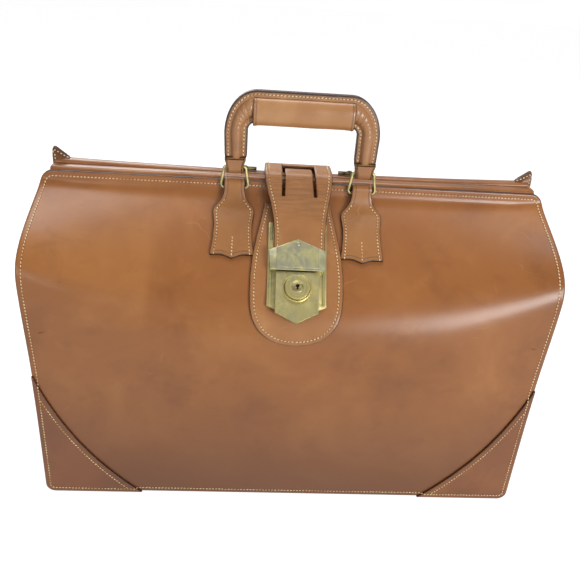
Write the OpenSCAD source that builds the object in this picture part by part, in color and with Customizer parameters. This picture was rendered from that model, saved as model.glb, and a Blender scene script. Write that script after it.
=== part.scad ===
// Leather briefcase on a hinged steel top frame, with a closing strap, a hasp lock
// and a padded handle on two rings. X runs left to right, Y front to back, Z up.
// The origin is the middle of the base, on the surface that the case stands on.

/* [Case] */
// Width of the front and back panels at their widest
case_w = 430; // [400:1:460]
// Depth of the case at the base, front panel to back panel
base_d = 178; // [160:1:196]
// Height of the leather top of the closed frame
frame_top = 281.5; // [270:0.5:295]
// Height of the front panel's fullest line, at the middle of its width
crest_z = 172; // [168:1:184]
// How much higher that line lies at the side seams
crest_rise = 51; // [44:1:54]
// How far the fullest line stands out past the base
crest_out = 9.5; // [6:0.5:12]
// How far the fullest line draws in again at the side seams
crest_in = 12; // [8:0.5:14]
// How much narrower the panels are at the frame than at their widest, each side
shoulder_in = 4.5; // [3:0.5:7]
// Thickness of the panel leather
panel_t = 3; // [2.4:0.1:3.4]
// Thickness of the gusset and base leather
gusset_t = 2.3; // [1.8:0.1:2.6]
// Thickness of the lining
lining_t = 0.8; // [0.6:0.1:1.2]
// Width of the outward welts along the seams
welt_w = 7; // [6:0.5:8.5]
// Radius of the panels' bottom corners
corner_r = 8; // [5:0.5:12]
// Thickness of the base stiffener
board_t = 3; // [2:0.5:4]

/* [Frame] */
// Length of the covered frame
frame_len = 413; // [395:1:413]
// Width of each steel bar, front to back
bar_w = 6; // [5:0.5:7]
// Height of each steel bar
bar_h = 12; // [10:0.5:13]
// Thickness of the leather over the bars
cover_t = 2.2; // [1.8:0.1:2.6]
// Gap between the closed jaws
jaw_gap = 1.4; // [1.2:0.1:2.4]
// Thickness of the frame's steel arms
arm_t = 2; // [1.6:0.1:2.4]
// Half width of an arm at its eye
arm_eye_r = 6.5; // [6:0.5:7.5]
// Height of the fold line that the upper panels turn about
fold_z = 168; // [164:1:168]
// Angle that each upper side turns outwards when the case is opened
open_angle = 28; // [24:1:28]
// Radius of the frame's pivot pins
pin_r = 2.5; // [2:0.1:3]

/* [Corner patches] */
// Height of a corner patch on the side seam
patch_h = 126; // [100:1:140]
// Width of a corner patch along the base
patch_w = 86; // [70:1:110]
// How far the patch's curved edge bows in
patch_bow = 10; // [4:0.5:14]
// Thickness of the patch leather
patch_t = 2; // [1.5:0.1:2.4]

/* [Handle] */
// Overall width of the handle
handle_w = 126; // [120:1:130]
// Width of the handle's legs
leg_w = 19; // [17:0.5:20]
// Height of the grip's underside over the ring's top bar
grip_rise = 37; // [36:0.5:42]
// Height of the grip, underside to top
grip_h = 25.5; // [23:0.5:28]
// Thickness of the handle, front to back
handle_t = 14; // [12:0.5:15]
// Thickness of the handle's leather
handle_leather_t = 2.4; // [2:0.1:3]
// Length of the sleeve over the grip
sleeve_len = 75; // [60:1:75]
// Thickness of the sleeve
sleeve_t = 2.2; // [1.6:0.1:2.6]
// Radius of the ring wire
wire_r = 1.3; // [1.1:0.1:1.5]
// Width of a ring at its lower bar
ring_w = 26; // [24:0.5:28]
// Width of a ring at its upper bar
ring_top_w = 20; // [18:0.5:21]
// Distance between a ring's two bars
ring_h = 18; // [17:0.5:20]
// Width of the leather tab at its loop
tab_neck_w = 16.5; // [15:0.5:17]
// Half width of the tab at its foot
tab_half_w = 17.5; // [16:0.5:19]
// Length of the leather tab down from the frame
tab_len = 38; // [36:1:44]
// Thickness of the tab leather
tab_t = 2.6; // [2:0.1:3]

/* [Lock] */
// Half width of the leather patch under the lock
lock_patch_hw = 37.3; // [34:0.5:40]
// Width of the lock's base plate
base_plate_w = 48; // [46:0.5:50]
// Length of the lock's base plate
base_plate_len = 74; // [72:0.5:76]
// Thickness of the lock's base plate
base_plate_t = 1.2; // [1:0.1:1.4]
// Width of the lock case
lock_case_w = 34.6; // [33:0.2:36]
// Length of the lock case down to its point
lock_case_len = 42.5; // [40:0.5:44]
// Height of the lock case over the base plate
lock_case_h = 4.6; // [4.4:0.1:5.2]
// Wall thickness of the lock case
lock_wall = 1; // [0.8:0.1:1.1]
// Radius of the push button
button_r = 10.3; // [9.5:0.1:11]
// How far the button stands proud of the lock case
button_proud = 3.6; // [3:0.1:4.5]
// Travel of the button down to its stop
button_travel = 1.6; // [1.2:0.1:1.6]
// Radius of the key plug
plug_r = 4.5; // [4:0.1:5]

/* [Strap and hasp] */
// Width of the strap over the frame
strap_w = 57; // [53:0.5:58]
// Width of the strap where it enters the hasp
strap_end_w = 42; // [38:0.5:43]
// Thickness of the strap
strap_t = 4.2; // [3.6:0.1:4.4]
// Width of the slit's opening in the strap
slit_w = 28; // [24:0.5:32]
// Width of the hasp at its shoulders
hasp_w = 47; // [46:0.5:48]
// Height of the hasp over the lock's base plate
hasp_h = 5.8; // [5.6:0.1:6.2]
// Length of the hasp, lower edge to apex
hasp_len = 26.5; // [25:0.5:28]

/* [Turn clips] */
// Distance of each clip's pivot from the middle of the case
clip_x = 45.5; // [44:0.5:47]
// Length of a clip's lever
lever_len = 10; // [8:0.5:10.5]

/* [Hidden] */
$fn = 48;

// Clearance between pieces that lie on each other, and between pieces that turn
seat = 0.3;
running = 0.1;
fine = 0.05;

tan_leather = [0.62, 0.36, 0.2];
dark_leather = [0.5, 0.28, 0.15];
lining_tan = [0.72, 0.6, 0.45];
brass = [0.72, 0.58, 0.3];
steel = [0.6, 0.6, 0.62];
board_grey = [0.45, 0.42, 0.38];

half_w = case_w / 2;
base_half = base_d / 2;

// The jaws: a covered bar each side of the middle
cover_in = jaw_gap / 2;
cover_out = cover_in + 2 * cover_t + bar_w + 2 * seat;
bar_y = (cover_in + cover_out) / 2;
cover_h = bar_h + cover_t + seat + 4.5;

// The panels slope up to panel_top, turn upright there and are sewn along the covered bars
panel_top = frame_top - 13.5;
panel_top_y = cover_out + panel_t + 0.2;
upright_z = panel_top + 2.5;
hide_top = frame_top - 2;

// Outline of the case seen from the side: distance of the outer leather from the middle
// plane, at height z and distance x from the middle
function crest_height(x) = crest_z + crest_rise * pow(x / half_w, 2);
function crest_depth(x) = base_half + crest_out - crest_in * pow(x / half_w, 2);
function rise_share(x, z) = (z - crest_height(x)) / (panel_top - crest_height(x));
// Share of the crest's depth lost at a share s of the rise: round at the crest, then straight
crest_round = 0.1;
bulge_low = pow(crest_round, 1.32);
function bulge(s) =
    (pow(s * s + crest_round * crest_round, 0.66) - bulge_low)
    / (pow(1 + crest_round * crest_round, 0.66) - bulge_low);
function skin_y(x, z) =
    z <= crest_height(x)
    ? base_half + (crest_depth(x) - base_half) * sin(90 * z / crest_height(x))
    : z >= panel_top
    ? panel_top_y
    : panel_top_y + (crest_depth(x) - panel_top_y) * (1 - bulge(rise_share(x, z)));
function skin_slope(x, z) =
    z >= upright_z
    ? 0
    : (skin_y(x, min(z + 0.5, panel_top)) - skin_y(x, max(z - 0.5, 0)))
        / (min(z + 0.5, panel_top) - max(z - 0.5, 0));
function skin_point(x, z, off) =
    let (m = skin_slope(x, z), n = sqrt(1 + m * m))
    [x, -(skin_y(x, z) + off / n), max(z - off * m / n, 0)];

// Half width of the panels at height z, with round bottom corners and drawn-in shoulders
shoulder_z = crest_z + crest_rise;
function edge_x(z) =
    half_w
    - (z < corner_r ? corner_r - sqrt(pow(corner_r, 2) - pow(corner_r - z, 2)) : 0)
    - (z > shoulder_z ? shoulder_in * pow((z - shoulder_z) / (hide_top - shoulder_z), 2) : 0);

// The fold line, and the frame's pivot on the middle plane: half the opening angle below
fold_y = skin_y(0, fold_z) + 0.3;
pivot_z = fold_z - fold_y * tan(open_angle / 2);
pin_travel = 2 * (fold_y / cos(open_angle / 2) - fold_y);

// Where the lock sits on the sloping front: a flat tangent plane
lock_z = crest_z + 0.525 * (panel_top - crest_z);
lock_tilt = atan(-1 / skin_slope(0, lock_z));
lock_y = skin_y(0, lock_z);
plate_n = patch_t + seat + 0.4;
plate_top_n = plate_n + base_plate_t;
case_top_n = plate_top_n + fine + lock_case_h;
plate_top_s = 38.5;
case_top_s = -5;
button_s = -18.5;
hasp_low_s = -4;
staple_s = 8;
staple_len = 4;
bolt_tip_s = staple_s - staple_len / 2 - seat;
bolt_tail_s = -17;
bolt_throw = 5;

// The rings' lower bars in the tabs' loops, and the upper bars in the handle
tab_loop_r = wire_r + running + tab_t - 0.4;
ring_y = -(panel_top_y + seat + tab_loop_r);
ring_z = frame_top - 7.5;
handle_hinge_z = ring_z + ring_h;
ring_x = (handle_w - leg_w) / 2;

// The strap turns about its outer face over the back jaw
strap_in_z = frame_top + 2.6;
strap_hinge_y = panel_top_y + seat;

// Heights that the rows of every leather sheet share, so that sheets lie parallel
row_levels = concat(
    [for (a = [15 : 25 : 90]) corner_r * (1 - cos(a))], [for (z = [20 : 18 : 146]) z],
    [for (z = [155 : 7.5 : frame_top - 16.5]) z], [panel_top, upright_z]
);
function rows_between(z0, z1) =
    concat([z0], [for (z = row_levels) if (z > z0 + 1 && z < z1 - 1) z], [z1]);
function even_rows(z0, z1, rows) = [for (i = [0 : rows]) z0 + (z1 - z0) * i / rows];

// A sheet of leather that follows the front of the case, with its rows at the heights zs.
// It lies from off0 to off1 outside the panel's outer face, and left and right give its edges.
module skin_sheet(zs, cols, off0, off1, left, right) {
    rows = len(zs) - 1;
    n = (rows + 1) * (cols + 1);
    function across(z, j) = left(z) + (right(z) - left(z)) * j / cols;
    pts = [
        for (off = [off0, off1], z = zs, j = [0 : cols]) skin_point(across(z, j), z, off)
    ];
    function inner(i, j) = i * (cols + 1) + j;
    function outer(i, j) = n + inner(i, j);
    function on_left(i, j) = across(zs[i], j) + across(zs[i], j + 1) < 0;
    quads = concat(
        [for (i = [0 : rows - 1], j = [0 : cols - 1]) on_left(i, j)
            ? [outer(i + 1, j), outer(i + 1, j + 1), outer(i, j + 1), outer(i, j)]
            : [outer(i, j), outer(i + 1, j), outer(i + 1, j + 1), outer(i, j + 1)]],
        [for (i = [0 : rows - 1], j = [0 : cols - 1]) on_left(i, j)
            ? [inner(i + 1, j), inner(i, j), inner(i, j + 1), inner(i + 1, j + 1)]
            : [inner(i, j), inner(i, j + 1), inner(i + 1, j + 1), inner(i + 1, j)]],
        [for (j = [0 : cols - 1]) [outer(0, j), outer(0, j + 1), inner(0, j + 1), inner(0, j)]],
        [for (j = [0 : cols - 1])
            [outer(rows, j + 1), outer(rows, j), inner(rows, j), inner(rows, j + 1)]],
        [for (i = [0 : rows - 1]) [outer(i + 1, 0), outer(i, 0), inner(i, 0), inner(i + 1, 0)]],
        [for (i = [0 : rows - 1])
            [outer(i, cols), outer(i + 1, cols), inner(i + 1, cols), inner(i, cols)]]
    );
    polyhedron(pts, [for (q = quads, k = [1, 2]) [q[0], q[k], q[k + 1]]]);
}

// A full-width panel between two heights
panel_cols = 24;
module panel(z0, z1) {
    skin_sheet(rows_between(z0, z1), panel_cols, -panel_t, 0,
        function(z) -edge_x(z), function(z) edge_x(z));
}

// Puts a shape drawn in the side view, as [y, z], at a distance x, extruded by t outwards
module side_plate(x, t) {
    translate([x, 0, 0]) rotate([90, 0, 90]) linear_extrude(t) children();
}

// Puts the lock's own axes on the front slope: x across, y up the slope, z out of it
module on_slope() {
    translate([0, -lock_y, lock_z]) rotate([lock_tilt, 0, 0]) children();
}

module mirrored_back() { mirror([0, 1, 0]) children(); }
module mirrored_right() { mirror([1, 0, 0]) children(); }

// Profile of a gusset: points down the case's inner face from height z1 to z0
gusset_off = -(panel_t + seat);
gusset_x = half_w - welt_w;
function inner_face(x, z, off) = let (p = skin_point(x, z, off)) [p[1], p[2]];

module base_panel() {
    inner = base_half - panel_t - seat;
    long = 2 * (half_w - welt_w - gusset_t - seat);
    color(dark_leather) {
        translate([-long / 2, -inner, welt_w]) cube([long, 2 * inner, gusset_t]);
        for (side = [-1, 1])
            translate([-long / 2, side > 0 ? inner - gusset_t : -inner, 0])
                cube([long, gusset_t, welt_w + 0.1]);
    }
}

module base_board() {
    inner = base_half - panel_t - lining_t - 3 * seat;
    long = 2 * (half_w - welt_w - gusset_t - seat) - 2;
    color(board_grey) translate([-long / 2, -inner, welt_w + gusset_t])
        cube([long, 2 * inner, board_t]);
}

module front_panel_lower() {
    color(tan_leather) panel(0, fold_z - seat);
}

module back_panel_lower() {
    color(tan_leather) mirrored_back() panel(0, fold_z - seat);
}

// Gusset below the fold: a flat side wall and the flanges that are stitched to the panels
module gusset_lower() {
    heights = rows_between(0, fold_z - seat);
    front = [for (z = heights) inner_face(gusset_x, z, gusset_off - 1)];
    back = [for (i = [len(heights) - 1 : -1 : 0]) [-front[i][0], front[i][1]]];
    side_plate(gusset_x - gusset_t, gusset_t)
        polygon(concat(front, [[0, pivot_z - arm_eye_r + 1]], back));
    for (flip = [0, 1]) mirror([0, flip, 0])
        skin_sheet(heights, 1, gusset_off - gusset_t, gusset_off,
            function(z) gusset_x - 0.2, function(z) max(edge_x(z), gusset_x + 0.6));
}

module gusset_lower_left() { color(dark_leather) mirrored_right() gusset_lower(); }
module gusset_lower_right() { color(dark_leather) gusset_lower(); }

// Corner patch: bounded by the seam, the base and an arc that bows towards the corner
patch_chord = sqrt(patch_h * patch_h + patch_w * patch_w);
patch_arc_r = (pow(patch_chord / 2, 2) + patch_bow * patch_bow) / (2 * patch_bow);
patch_arc_x = patch_w / 2 + (patch_arc_r - patch_bow) * patch_h / patch_chord;
patch_arc_z = patch_h / 2 + (patch_arc_r - patch_bow) * patch_w / patch_chord;
function patch_edge(z) =
    patch_arc_x - sqrt(max(patch_arc_r * patch_arc_r - pow(z - patch_arc_z, 2), 0));

module corner_patch() {
    skin_sheet(rows_between(0, patch_h - 2), 6, seat, seat + patch_t,
        function(z) min(half_w - patch_edge(z), edge_x(z) - 1), function(z) edge_x(z));
}

module corner_patch_front_left() { color(tan_leather) mirrored_right() corner_patch(); }
module corner_patch_front_right() { color(tan_leather) corner_patch(); }
module corner_patch_back_left() {
    color(tan_leather) mirrored_back() mirrored_right() corner_patch();
}
module corner_patch_back_right() { color(tan_leather) mirrored_back() corner_patch(); }

// Lining inside the lower case: front, back and base. It stops one column short of the
// panel's edges, clear of the gussets.
lining_share = (panel_cols - 2) / panel_cols;
lining_x = half_w * lining_share;
board_top = welt_w + gusset_t + board_t;
module lining_wall(z0, z1) {
    off = -(panel_t + seat);
    skin_sheet(rows_between(z0, z1), panel_cols - 2, off - lining_t, off,
        function(z) -edge_x(z) * lining_share, function(z) edge_x(z) * lining_share);
}

module lining_lower() {
    edge = [
        for (j = [0 : panel_cols])
            let (x = lining_x * (2 * j / panel_cols - 1),
                p = skin_point(x, board_top, -(panel_t + seat + lining_t / 2)))
            [x, p[1]]
    ];
    back = [for (j = [panel_cols : -1 : 0]) [edge[j][0], -edge[j][1]]];
    color(lining_tan) {
        lining_wall(welt_w + gusset_t + seat, fold_z - 2);
        mirrored_back() lining_wall(welt_w + gusset_t + seat, fold_z - 2);
        translate([0, 0, board_top]) linear_extrude(lining_t) polygon(concat(edge, back));
    }
}

// Upper side of the case: the panel above the fold, and a half gusset at each end
module front_panel_upper() {
    color(tan_leather) difference() {
        panel(fold_z, hide_top);
        lock_fixing_holes();
    }
}

module back_panel_upper() {
    color(tan_leather) mirrored_back() panel(fold_z, hide_top);
}

leaf_x = gusset_x - 2 * gusset_t - 3;
module gusset_half() {
    low = fold_z + seat;
    high = frame_top - cover_h - seat;
    heights = rows_between(low, high);
    front = [for (z = heights) inner_face(leaf_x - gusset_t, z, gusset_off - 1)];
    relief = fold_y - sqrt(pow(fold_y - 0.2, 2) - pow(fold_z - pivot_z, 2)) + 0.6;
    side_plate(leaf_x - gusset_t, gusset_t)
        polygon(concat(front, [[-0.6, high], [-0.6, fold_z + 1], [-relief, pivot_z]]));
    skin_sheet(heights, 1, gusset_off - gusset_t, gusset_off,
        function(z) leaf_x - gusset_t, function(z) edge_x(z));
}

module gusset_front_left() { color(dark_leather) mirrored_right() gusset_half(); }
module gusset_front_right() { color(dark_leather) gusset_half(); }
module gusset_back_left() {
    color(dark_leather) mirrored_back() mirrored_right() gusset_half();
}
module gusset_back_right() { color(dark_leather) mirrored_back() gusset_half(); }

// Frame jaw: a steel bar with an arm at each end, drawn for the front
front_arm_x = leaf_x - gusset_t - seat - 1;
back_arm_x = front_arm_x - arm_t - 0.4;
bar_top = frame_top - cover_t - seat;
module jaw(arm_x, eye) {
    straight_low = frame_top - cover_h - 2;
    translate([-arm_x, -bar_y - bar_w / 2, bar_top - bar_h]) cube([2 * arm_x, bar_w, bar_h]);
    for (flip = [0, 1]) mirror([flip, 0, 0]) side_plate(arm_x - arm_t, arm_t)
        difference() {
            union() {
                translate([-bar_y - bar_w / 2, straight_low])
                    square([bar_w, bar_top - straight_low]);
                polygon([
                    [-bar_y - bar_w / 2, straight_low + 0.5],
                    [-bar_y + bar_w / 2, straight_low + 0.5],
                    [arm_eye_r, pivot_z], [-arm_eye_r, pivot_z]
                ]);
                if (eye == "round") translate([0, pivot_z]) circle(arm_eye_r);
                if (eye == "slot") slot(arm_eye_r + 0.2);
            }
            if (eye == "slot") slot(slot_r);
            else translate([0, pivot_z]) circle(pin_r + fine);
        }
}

// The back arms' eyes are slots: the pins ride in them as both sides turn
slot_lean = open_angle / 2;
slot_r = pin_r + 1.2;
module slot(r) {
    near = [for (a = [90 : 10 : 270]) [r * cos(a), r * sin(a)]];
    far = [for (a = [-90 : 10 : 90]) [pin_travel + r * cos(a), r * sin(a)]];
    translate([0, pivot_z]) rotate(180 - slot_lean) polygon(concat(near, far));
}

module front_frame() { color(steel) jaw(front_arm_x, "round"); }
module back_frame() { color(steel) mirrored_back() jaw(back_arm_x, "slot"); }

module frame_pivot_pins() {
    inside = back_arm_x - arm_t - seat;
    outside = front_arm_x + seat;
    color(brass) for (flip = [0, 1]) mirror([flip, 0, 0])
        translate([0, 0, pivot_z]) rotate([0, 90, 0]) {
            translate([0, 0, inside - 1]) cylinder(h = outside - inside + 2, r = pin_r);
            translate([0, 0, inside - 1.4]) cylinder(h = 1.2, r = slot_r + 1.6);
            translate([0, 0, outside]) cylinder(h = 0.9, r = pin_r + 1.8);
        }
}

// Leather over a steel bar, open below, with round top edges
module frame_cover() {
    w = cover_out - cover_in;
    r = 2;
    hole_w = bar_w + 2 * seat;
    color(tan_leather) difference() {
        side_plate(-frame_len / 2, frame_len) difference() {
            union() {
                translate([-cover_out, frame_top - cover_h]) square([w, cover_h - r]);
                translate([-cover_out + r, frame_top - r]) square([w - 2 * r, r]);
                for (y = [-cover_out + r, -cover_in - r])
                    translate([y, frame_top - r]) circle(r);
            }
            translate([-bar_y - hole_w / 2, frame_top - cover_h - 1])
                square([hole_w, cover_h - cover_t + 1]);
        }
    }
}

module front_frame_cover() { frame_cover(); }
module back_frame_cover() { mirrored_back() frame_cover(); }

// Leather ends that stand up at the two ends of the back jaw
cap_h = 10.2;
cap_len = 6;
module frame_end_cap() {
    w = cover_out - cover_in - 1;
    color(dark_leather) translate([frame_len / 2 - cap_len, cover_in + 0.5, frame_top]) {
        cube([cap_len, w, cap_h - w / 2]);
        translate([0, w / 2, cap_h - w / 2]) rotate([0, 90, 0]) cylinder(h = cap_len, r = w / 2);
    }
}
module frame_end_cap_left() { mirrored_right() frame_end_cap(); }
module frame_end_cap_right() { frame_end_cap(); }

module lining_front() {
    color(lining_tan) difference() {
        lining_wall(fold_z + 3, panel_top - 6);
        lock_fixing_holes();
    }
}
module lining_back() {
    color(lining_tan) mirrored_back() lining_wall(fold_z + 3, panel_top - 6);
}

// Leather tab that holds a handle ring: half widths down its length
tab_low = panel_top - tab_len;
tab_outline = [
    [0, tab_half_w], [0.3, tab_half_w - 1.3], [0.55, tab_half_w - 1.7],
    [0.74, tab_half_w - 0.2], [0.86, tab_half_w - 4], [1, tab_neck_w / 2]
];
tab_shares = [0, 0.1, 0.2, 0.3, 0.42, 0.55, 0.65, 0.74, 0.8, 0.86, 0.93, 1];
module handle_tab(x) {
    function half(z) = lookup((z - tab_low) / tab_len, tab_outline);
    top = skin_point(x, panel_top - 0.5, seat);
    color(tan_leather) {
        skin_sheet([for (k = tab_shares) tab_low + k * tab_len], 2, seat, seat + tab_t,
            function(z) x - half(z), function(z) x + half(z));
        difference() {
            hull() {
                translate([x - tab_neck_w / 2, ring_y, ring_z]) rotate([0, 90, 0])
                    cylinder(h = tab_neck_w, r = tab_loop_r, $fn = 32);
                translate([x - tab_neck_w / 2, top[1] - tab_t, top[2]])
                    cube([tab_neck_w, tab_t, 1]);
            }
            translate([x - tab_neck_w / 2 - 1, ring_y, ring_z]) rotate([0, 90, 0])
                cylinder(h = tab_neck_w + 2, r = wire_r + running);
        }
    }
}
module handle_tab_left() { handle_tab(-ring_x); }
module handle_tab_right() { handle_tab(ring_x); }

// Ring of brass wire: wide lower bar, narrower upper bar
module ring(x) {
    low = ring_w / 2 - wire_r;
    top = ring_top_w / 2 - wire_r;
    lean = atan((low - top) / ring_h);
    side = ring_h / cos(lean);
    color(brass) translate([x, ring_y, ring_z]) {
        translate([-low, 0, 0]) rotate([0, 90, 0]) cylinder(h = 2 * low, r = wire_r);
        translate([-top, 0, ring_h]) rotate([0, 90, 0]) cylinder(h = 2 * top, r = wire_r);
        for (s = [-1, 1]) {
            translate([s * low, 0, 0]) sphere(wire_r + fine, $fn = 40);
            translate([s * top, 0, ring_h]) sphere(wire_r + fine, $fn = 40);
            translate([s * low, 0, 0]) rotate([0, -s * lean, 0]) cylinder(h = side, r = wire_r);
        }
    }
}
module handle_ring_left() { ring(-ring_x); }
module handle_ring_right() { ring(ring_x); }

// Outline of the handle seen from the front: an arch with a round-cornered opening
grip_low = handle_hinge_z + grip_rise;
grip_top = grip_low + grip_h;
foot_r = 6;
shoulder_r = 27;
opening_r = 6;
loop_w = ring_top_w - 4 * wire_r - 2 * seat;
module arch(w, top, r, low) {
    translate([-w / 2, low]) square([w, top - r - low]);
    translate([-w / 2 + r, low]) square([w - 2 * r, top - low]);
    for (s = [-1, 1]) translate([s * (w / 2 - r), top - r]) circle(r);
}
leg_low = handle_hinge_z + 7;
module handle_outline(inset) {
    difference() {
        arch(handle_w - 2 * inset, grip_top - inset, shoulder_r - inset, leg_low + inset);
        arch(handle_w - 2 * (leg_w - inset), grip_low + inset, opening_r + inset, leg_low - 1);
    }
}
// Stands a front-view outline up in the handle's plane, t thick
module handle_slab(t) {
    translate([0, ring_y + t / 2, 0]) rotate([90, 0, 0]) linear_extrude(t) children();
}

module handle_core() {
    color(board_grey) handle_slab(handle_t - 2 * handle_leather_t - 0.2)
        handle_outline(handle_leather_t + 0.1);
}

module handle_leather() {
    color(tan_leather) {
        difference() {
            handle_slab(handle_t) handle_outline(0);
            handle_slab(handle_t - 2 * handle_leather_t) handle_outline(handle_leather_t);
        }
        for (s = [-1, 1]) difference() {
            union() {
                translate([s * ring_x - loop_w / 2, ring_y, handle_hinge_z]) rotate([0, 90, 0])
                    cylinder(h = loop_w, r = foot_r);
                translate([s * ring_x - loop_w / 2, ring_y - foot_r, handle_hinge_z])
                    cube([loop_w, 2 * foot_r, leg_low - handle_hinge_z + 0.4]);
            }
            translate([s * ring_x - loop_w, ring_y, handle_hinge_z]) rotate([0, 90, 0])
                cylinder(h = 2 * loop_w, r = wire_r + running);
        }
    }
}

// Sleeve wrapped round the grip
module grip_sleeve() {
    out_h = grip_h + 2 * sleeve_t + 2 * fine;
    out_t = handle_t + 2 * sleeve_t + 2 * fine;
    r = 6;
    module round_bar(h, t, k) {
        square([h, t - 2 * k], center = true);
        square([h - 2 * k, t], center = true);
        for (a = [-1, 1], b = [-1, 1]) translate([a * (h / 2 - k), b * (t / 2 - k)]) circle(k);
    }
    color(tan_leather) translate([-sleeve_len / 2, ring_y, grip_low + grip_h / 2])
        rotate([0, 90, 0]) linear_extrude(sleeve_len) difference() {
            round_bar(out_h, out_t, r);
            square([grip_h + 2 * fine, handle_t + 2 * fine], center = true);
        }
}

// U-shaped leather patch under the lock
patch_top_z = panel_top - 3;
patch_round_z = lock_z - 20;
patch_low_z = fold_z + 3.5;
function lock_patch_half(z) =
    z > patch_round_z
    ? lock_patch_hw - 8 * (z - patch_round_z) / (patch_top_z - patch_round_z)
    : lock_patch_hw * sqrt(max(1 - pow(patch_round_share(z), 2), 0.01));
function patch_round_share(z) = (patch_round_z - z) / (patch_round_z - patch_low_z + 0.3);

// Slot in the patch that the bolt and the staple move in, and holes for the studs
stud_r = 1.5;
stud_x = 20;
stud_s = 24;
studs = [[-stud_x, stud_s], [stud_x, stud_s], [-stud_x, -stud_s], [stud_x, -stud_s]];
bolt_w = 3.2;
bolt_t = 1;
module bolt_channel() {
    low = button_s - 3;
    translate([-bolt_w / 2 - 2.4, low, -3])
        cube([bolt_w + 4.8, bolt_tip_s + bolt_throw + 6 - low, plate_n + 3]);
}
module lock_fixing_holes() {
    on_slope() for (p = studs) translate([p[0], p[1], -14])
        cylinder(h = 24, r = stud_r + seat);
}

patch_rows = concat(
    [for (k = [0, 0.03, 0.1, 0.2, 0.35, 0.55, 0.75])
        patch_low_z + k * (patch_round_z - patch_low_z)],
    even_rows(patch_round_z, patch_top_z, 9)
);
module lock_patch() {
    color(tan_leather) difference() {
        skin_sheet(patch_rows, 6, seat, seat + patch_t,
            function(z) -lock_patch_half(z), function(z) lock_patch_half(z));
        on_slope() bolt_channel();
        lock_fixing_holes();
    }
}

// Steel plate inside the panel that the lock's studs are riveted to
backing_half = 28;
backing_t = 1;
module lock_backing_plate() {
    low = -panel_t - lining_t - seat - backing_t - 2;
    color(steel) on_slope() {
        translate([-stud_x - 5, -backing_half, low])
            cube([2 * stud_x + 10, 2 * backing_half, backing_t]);
        for (p = studs) translate([p[0], p[1], low + 0.4])
            cylinder(h = plate_n - low - 0.4, r = stud_r);
    }
}

// Brass base plate, with its lower corners cut on a slant
plate_slant = 2.8;
module lock_base_plate() {
    w = base_plate_w / 2;
    low = plate_top_s - base_plate_len;
    color(brass) on_slope() difference() {
        translate([0, 0, plate_n]) linear_extrude(base_plate_t) polygon([
            [-w, plate_top_s], [w, plate_top_s], [w, low + plate_slant],
            [w - 2.5 * plate_slant, low], [2.5 * plate_slant - w, low], [-w, low + plate_slant]
        ]);
        translate([-4.4, staple_s - 3, plate_n - 1]) cube([8.8, 12, base_plate_t + 2]);
        translate([0, button_s, plate_n - 1]) cylinder(h = base_plate_t + 2, r = tail_r + 0.4);
    }
}

// Raised case of the lock, pointed at the foot, hollow for the button and its spring
flange_r = button_r + 1.2;
module case_outline(inset) {
    w = lock_case_w / 2 - inset;
    low = case_top_s - lock_case_len;
    point = lock_case_len / 5;
    polygon([
        [-w, case_top_s - inset], [w, case_top_s - inset], [w, low + point],
        [0, low + inset * 1.2], [-w, low + point]
    ]);
}
module lock_case() {
    base = plate_top_n + fine;
    color(brass) on_slope() difference() {
        translate([0, 0, base]) linear_extrude(lock_case_h) case_outline(0);
        translate([0, 0, base - 1]) linear_extrude(lock_case_h - lock_wall + 1)
            case_outline(lock_wall);
        translate([0, button_s, base - 1]) cylinder(h = lock_case_h + 2, r = button_r + running);
    }
}

button_top_n = case_top_n + button_proud;
flange_t = 1;
flange_low_n = case_top_n - lock_wall - fine - flange_t;
tail_r = 1;
// Push button: a flange under the lock case, and a stop that lands on the base plate
module lock_button() {
    color(brass) on_slope() translate([0, button_s, 0]) difference() {
        union() {
            translate([0, 0, flange_low_n]) cylinder(h = flange_t, r = flange_r);
            translate([0, 0, flange_low_n])
                cylinder(h = button_top_n - 0.8 - flange_low_n, r = button_r);
            translate([0, 0, button_top_n - 0.8])
                cylinder(h = 0.8, r1 = button_r, r2 = button_r - 0.8);
            translate([0, 0, plate_top_n + button_travel])
                cylinder(h = flange_low_n - plate_top_n - button_travel + 0.2, r = 3.4);
        }
        translate([0, 0, flange_low_n + 0.7]) cylinder(h = 20, r = plug_r + fine);
        translate([0, 0, plate_n]) cylinder(h = 20, r = tail_r + fine);
    }
}

// Conical spring washer between the base plate and the button's flange
module button_spring() {
    low = plate_top_n + fine;
    high = flange_low_n - fine;
    sheet = 0.3;
    color(steel) on_slope() translate([0, button_s, 0]) rotate_extrude()
        polygon([[10, low], [10, low + sheet], [5, high], [5, high - sheet]]);
}

// Key plug with its keyhole, and a tail that reaches through the base plate to the bolt
module key_plug() {
    floor_n = flange_low_n + 0.7 + fine;
    top = button_top_n - 0.3;
    color(brass) on_slope() translate([0, button_s, 0]) difference() {
        union() {
            translate([0, 0, floor_n]) cylinder(h = top - floor_n, r = plug_r);
            translate([0, 0, plate_n]) cylinder(h = floor_n - plate_n + 0.2, r = tail_r);
        }
        translate([0, 0.9, top - 3]) cylinder(h = 5, r = 1.5);
        translate([-0.7, -2.6, top - 3]) cube([1.4, 4, 5]);
    }
}

module lock_bolt() {
    color(steel) on_slope() translate([-bolt_w / 2, bolt_tail_s, plate_n - seat - bolt_t])
        cube([bolt_w, bolt_tip_s - bolt_tail_s, bolt_t]);
}

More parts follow.
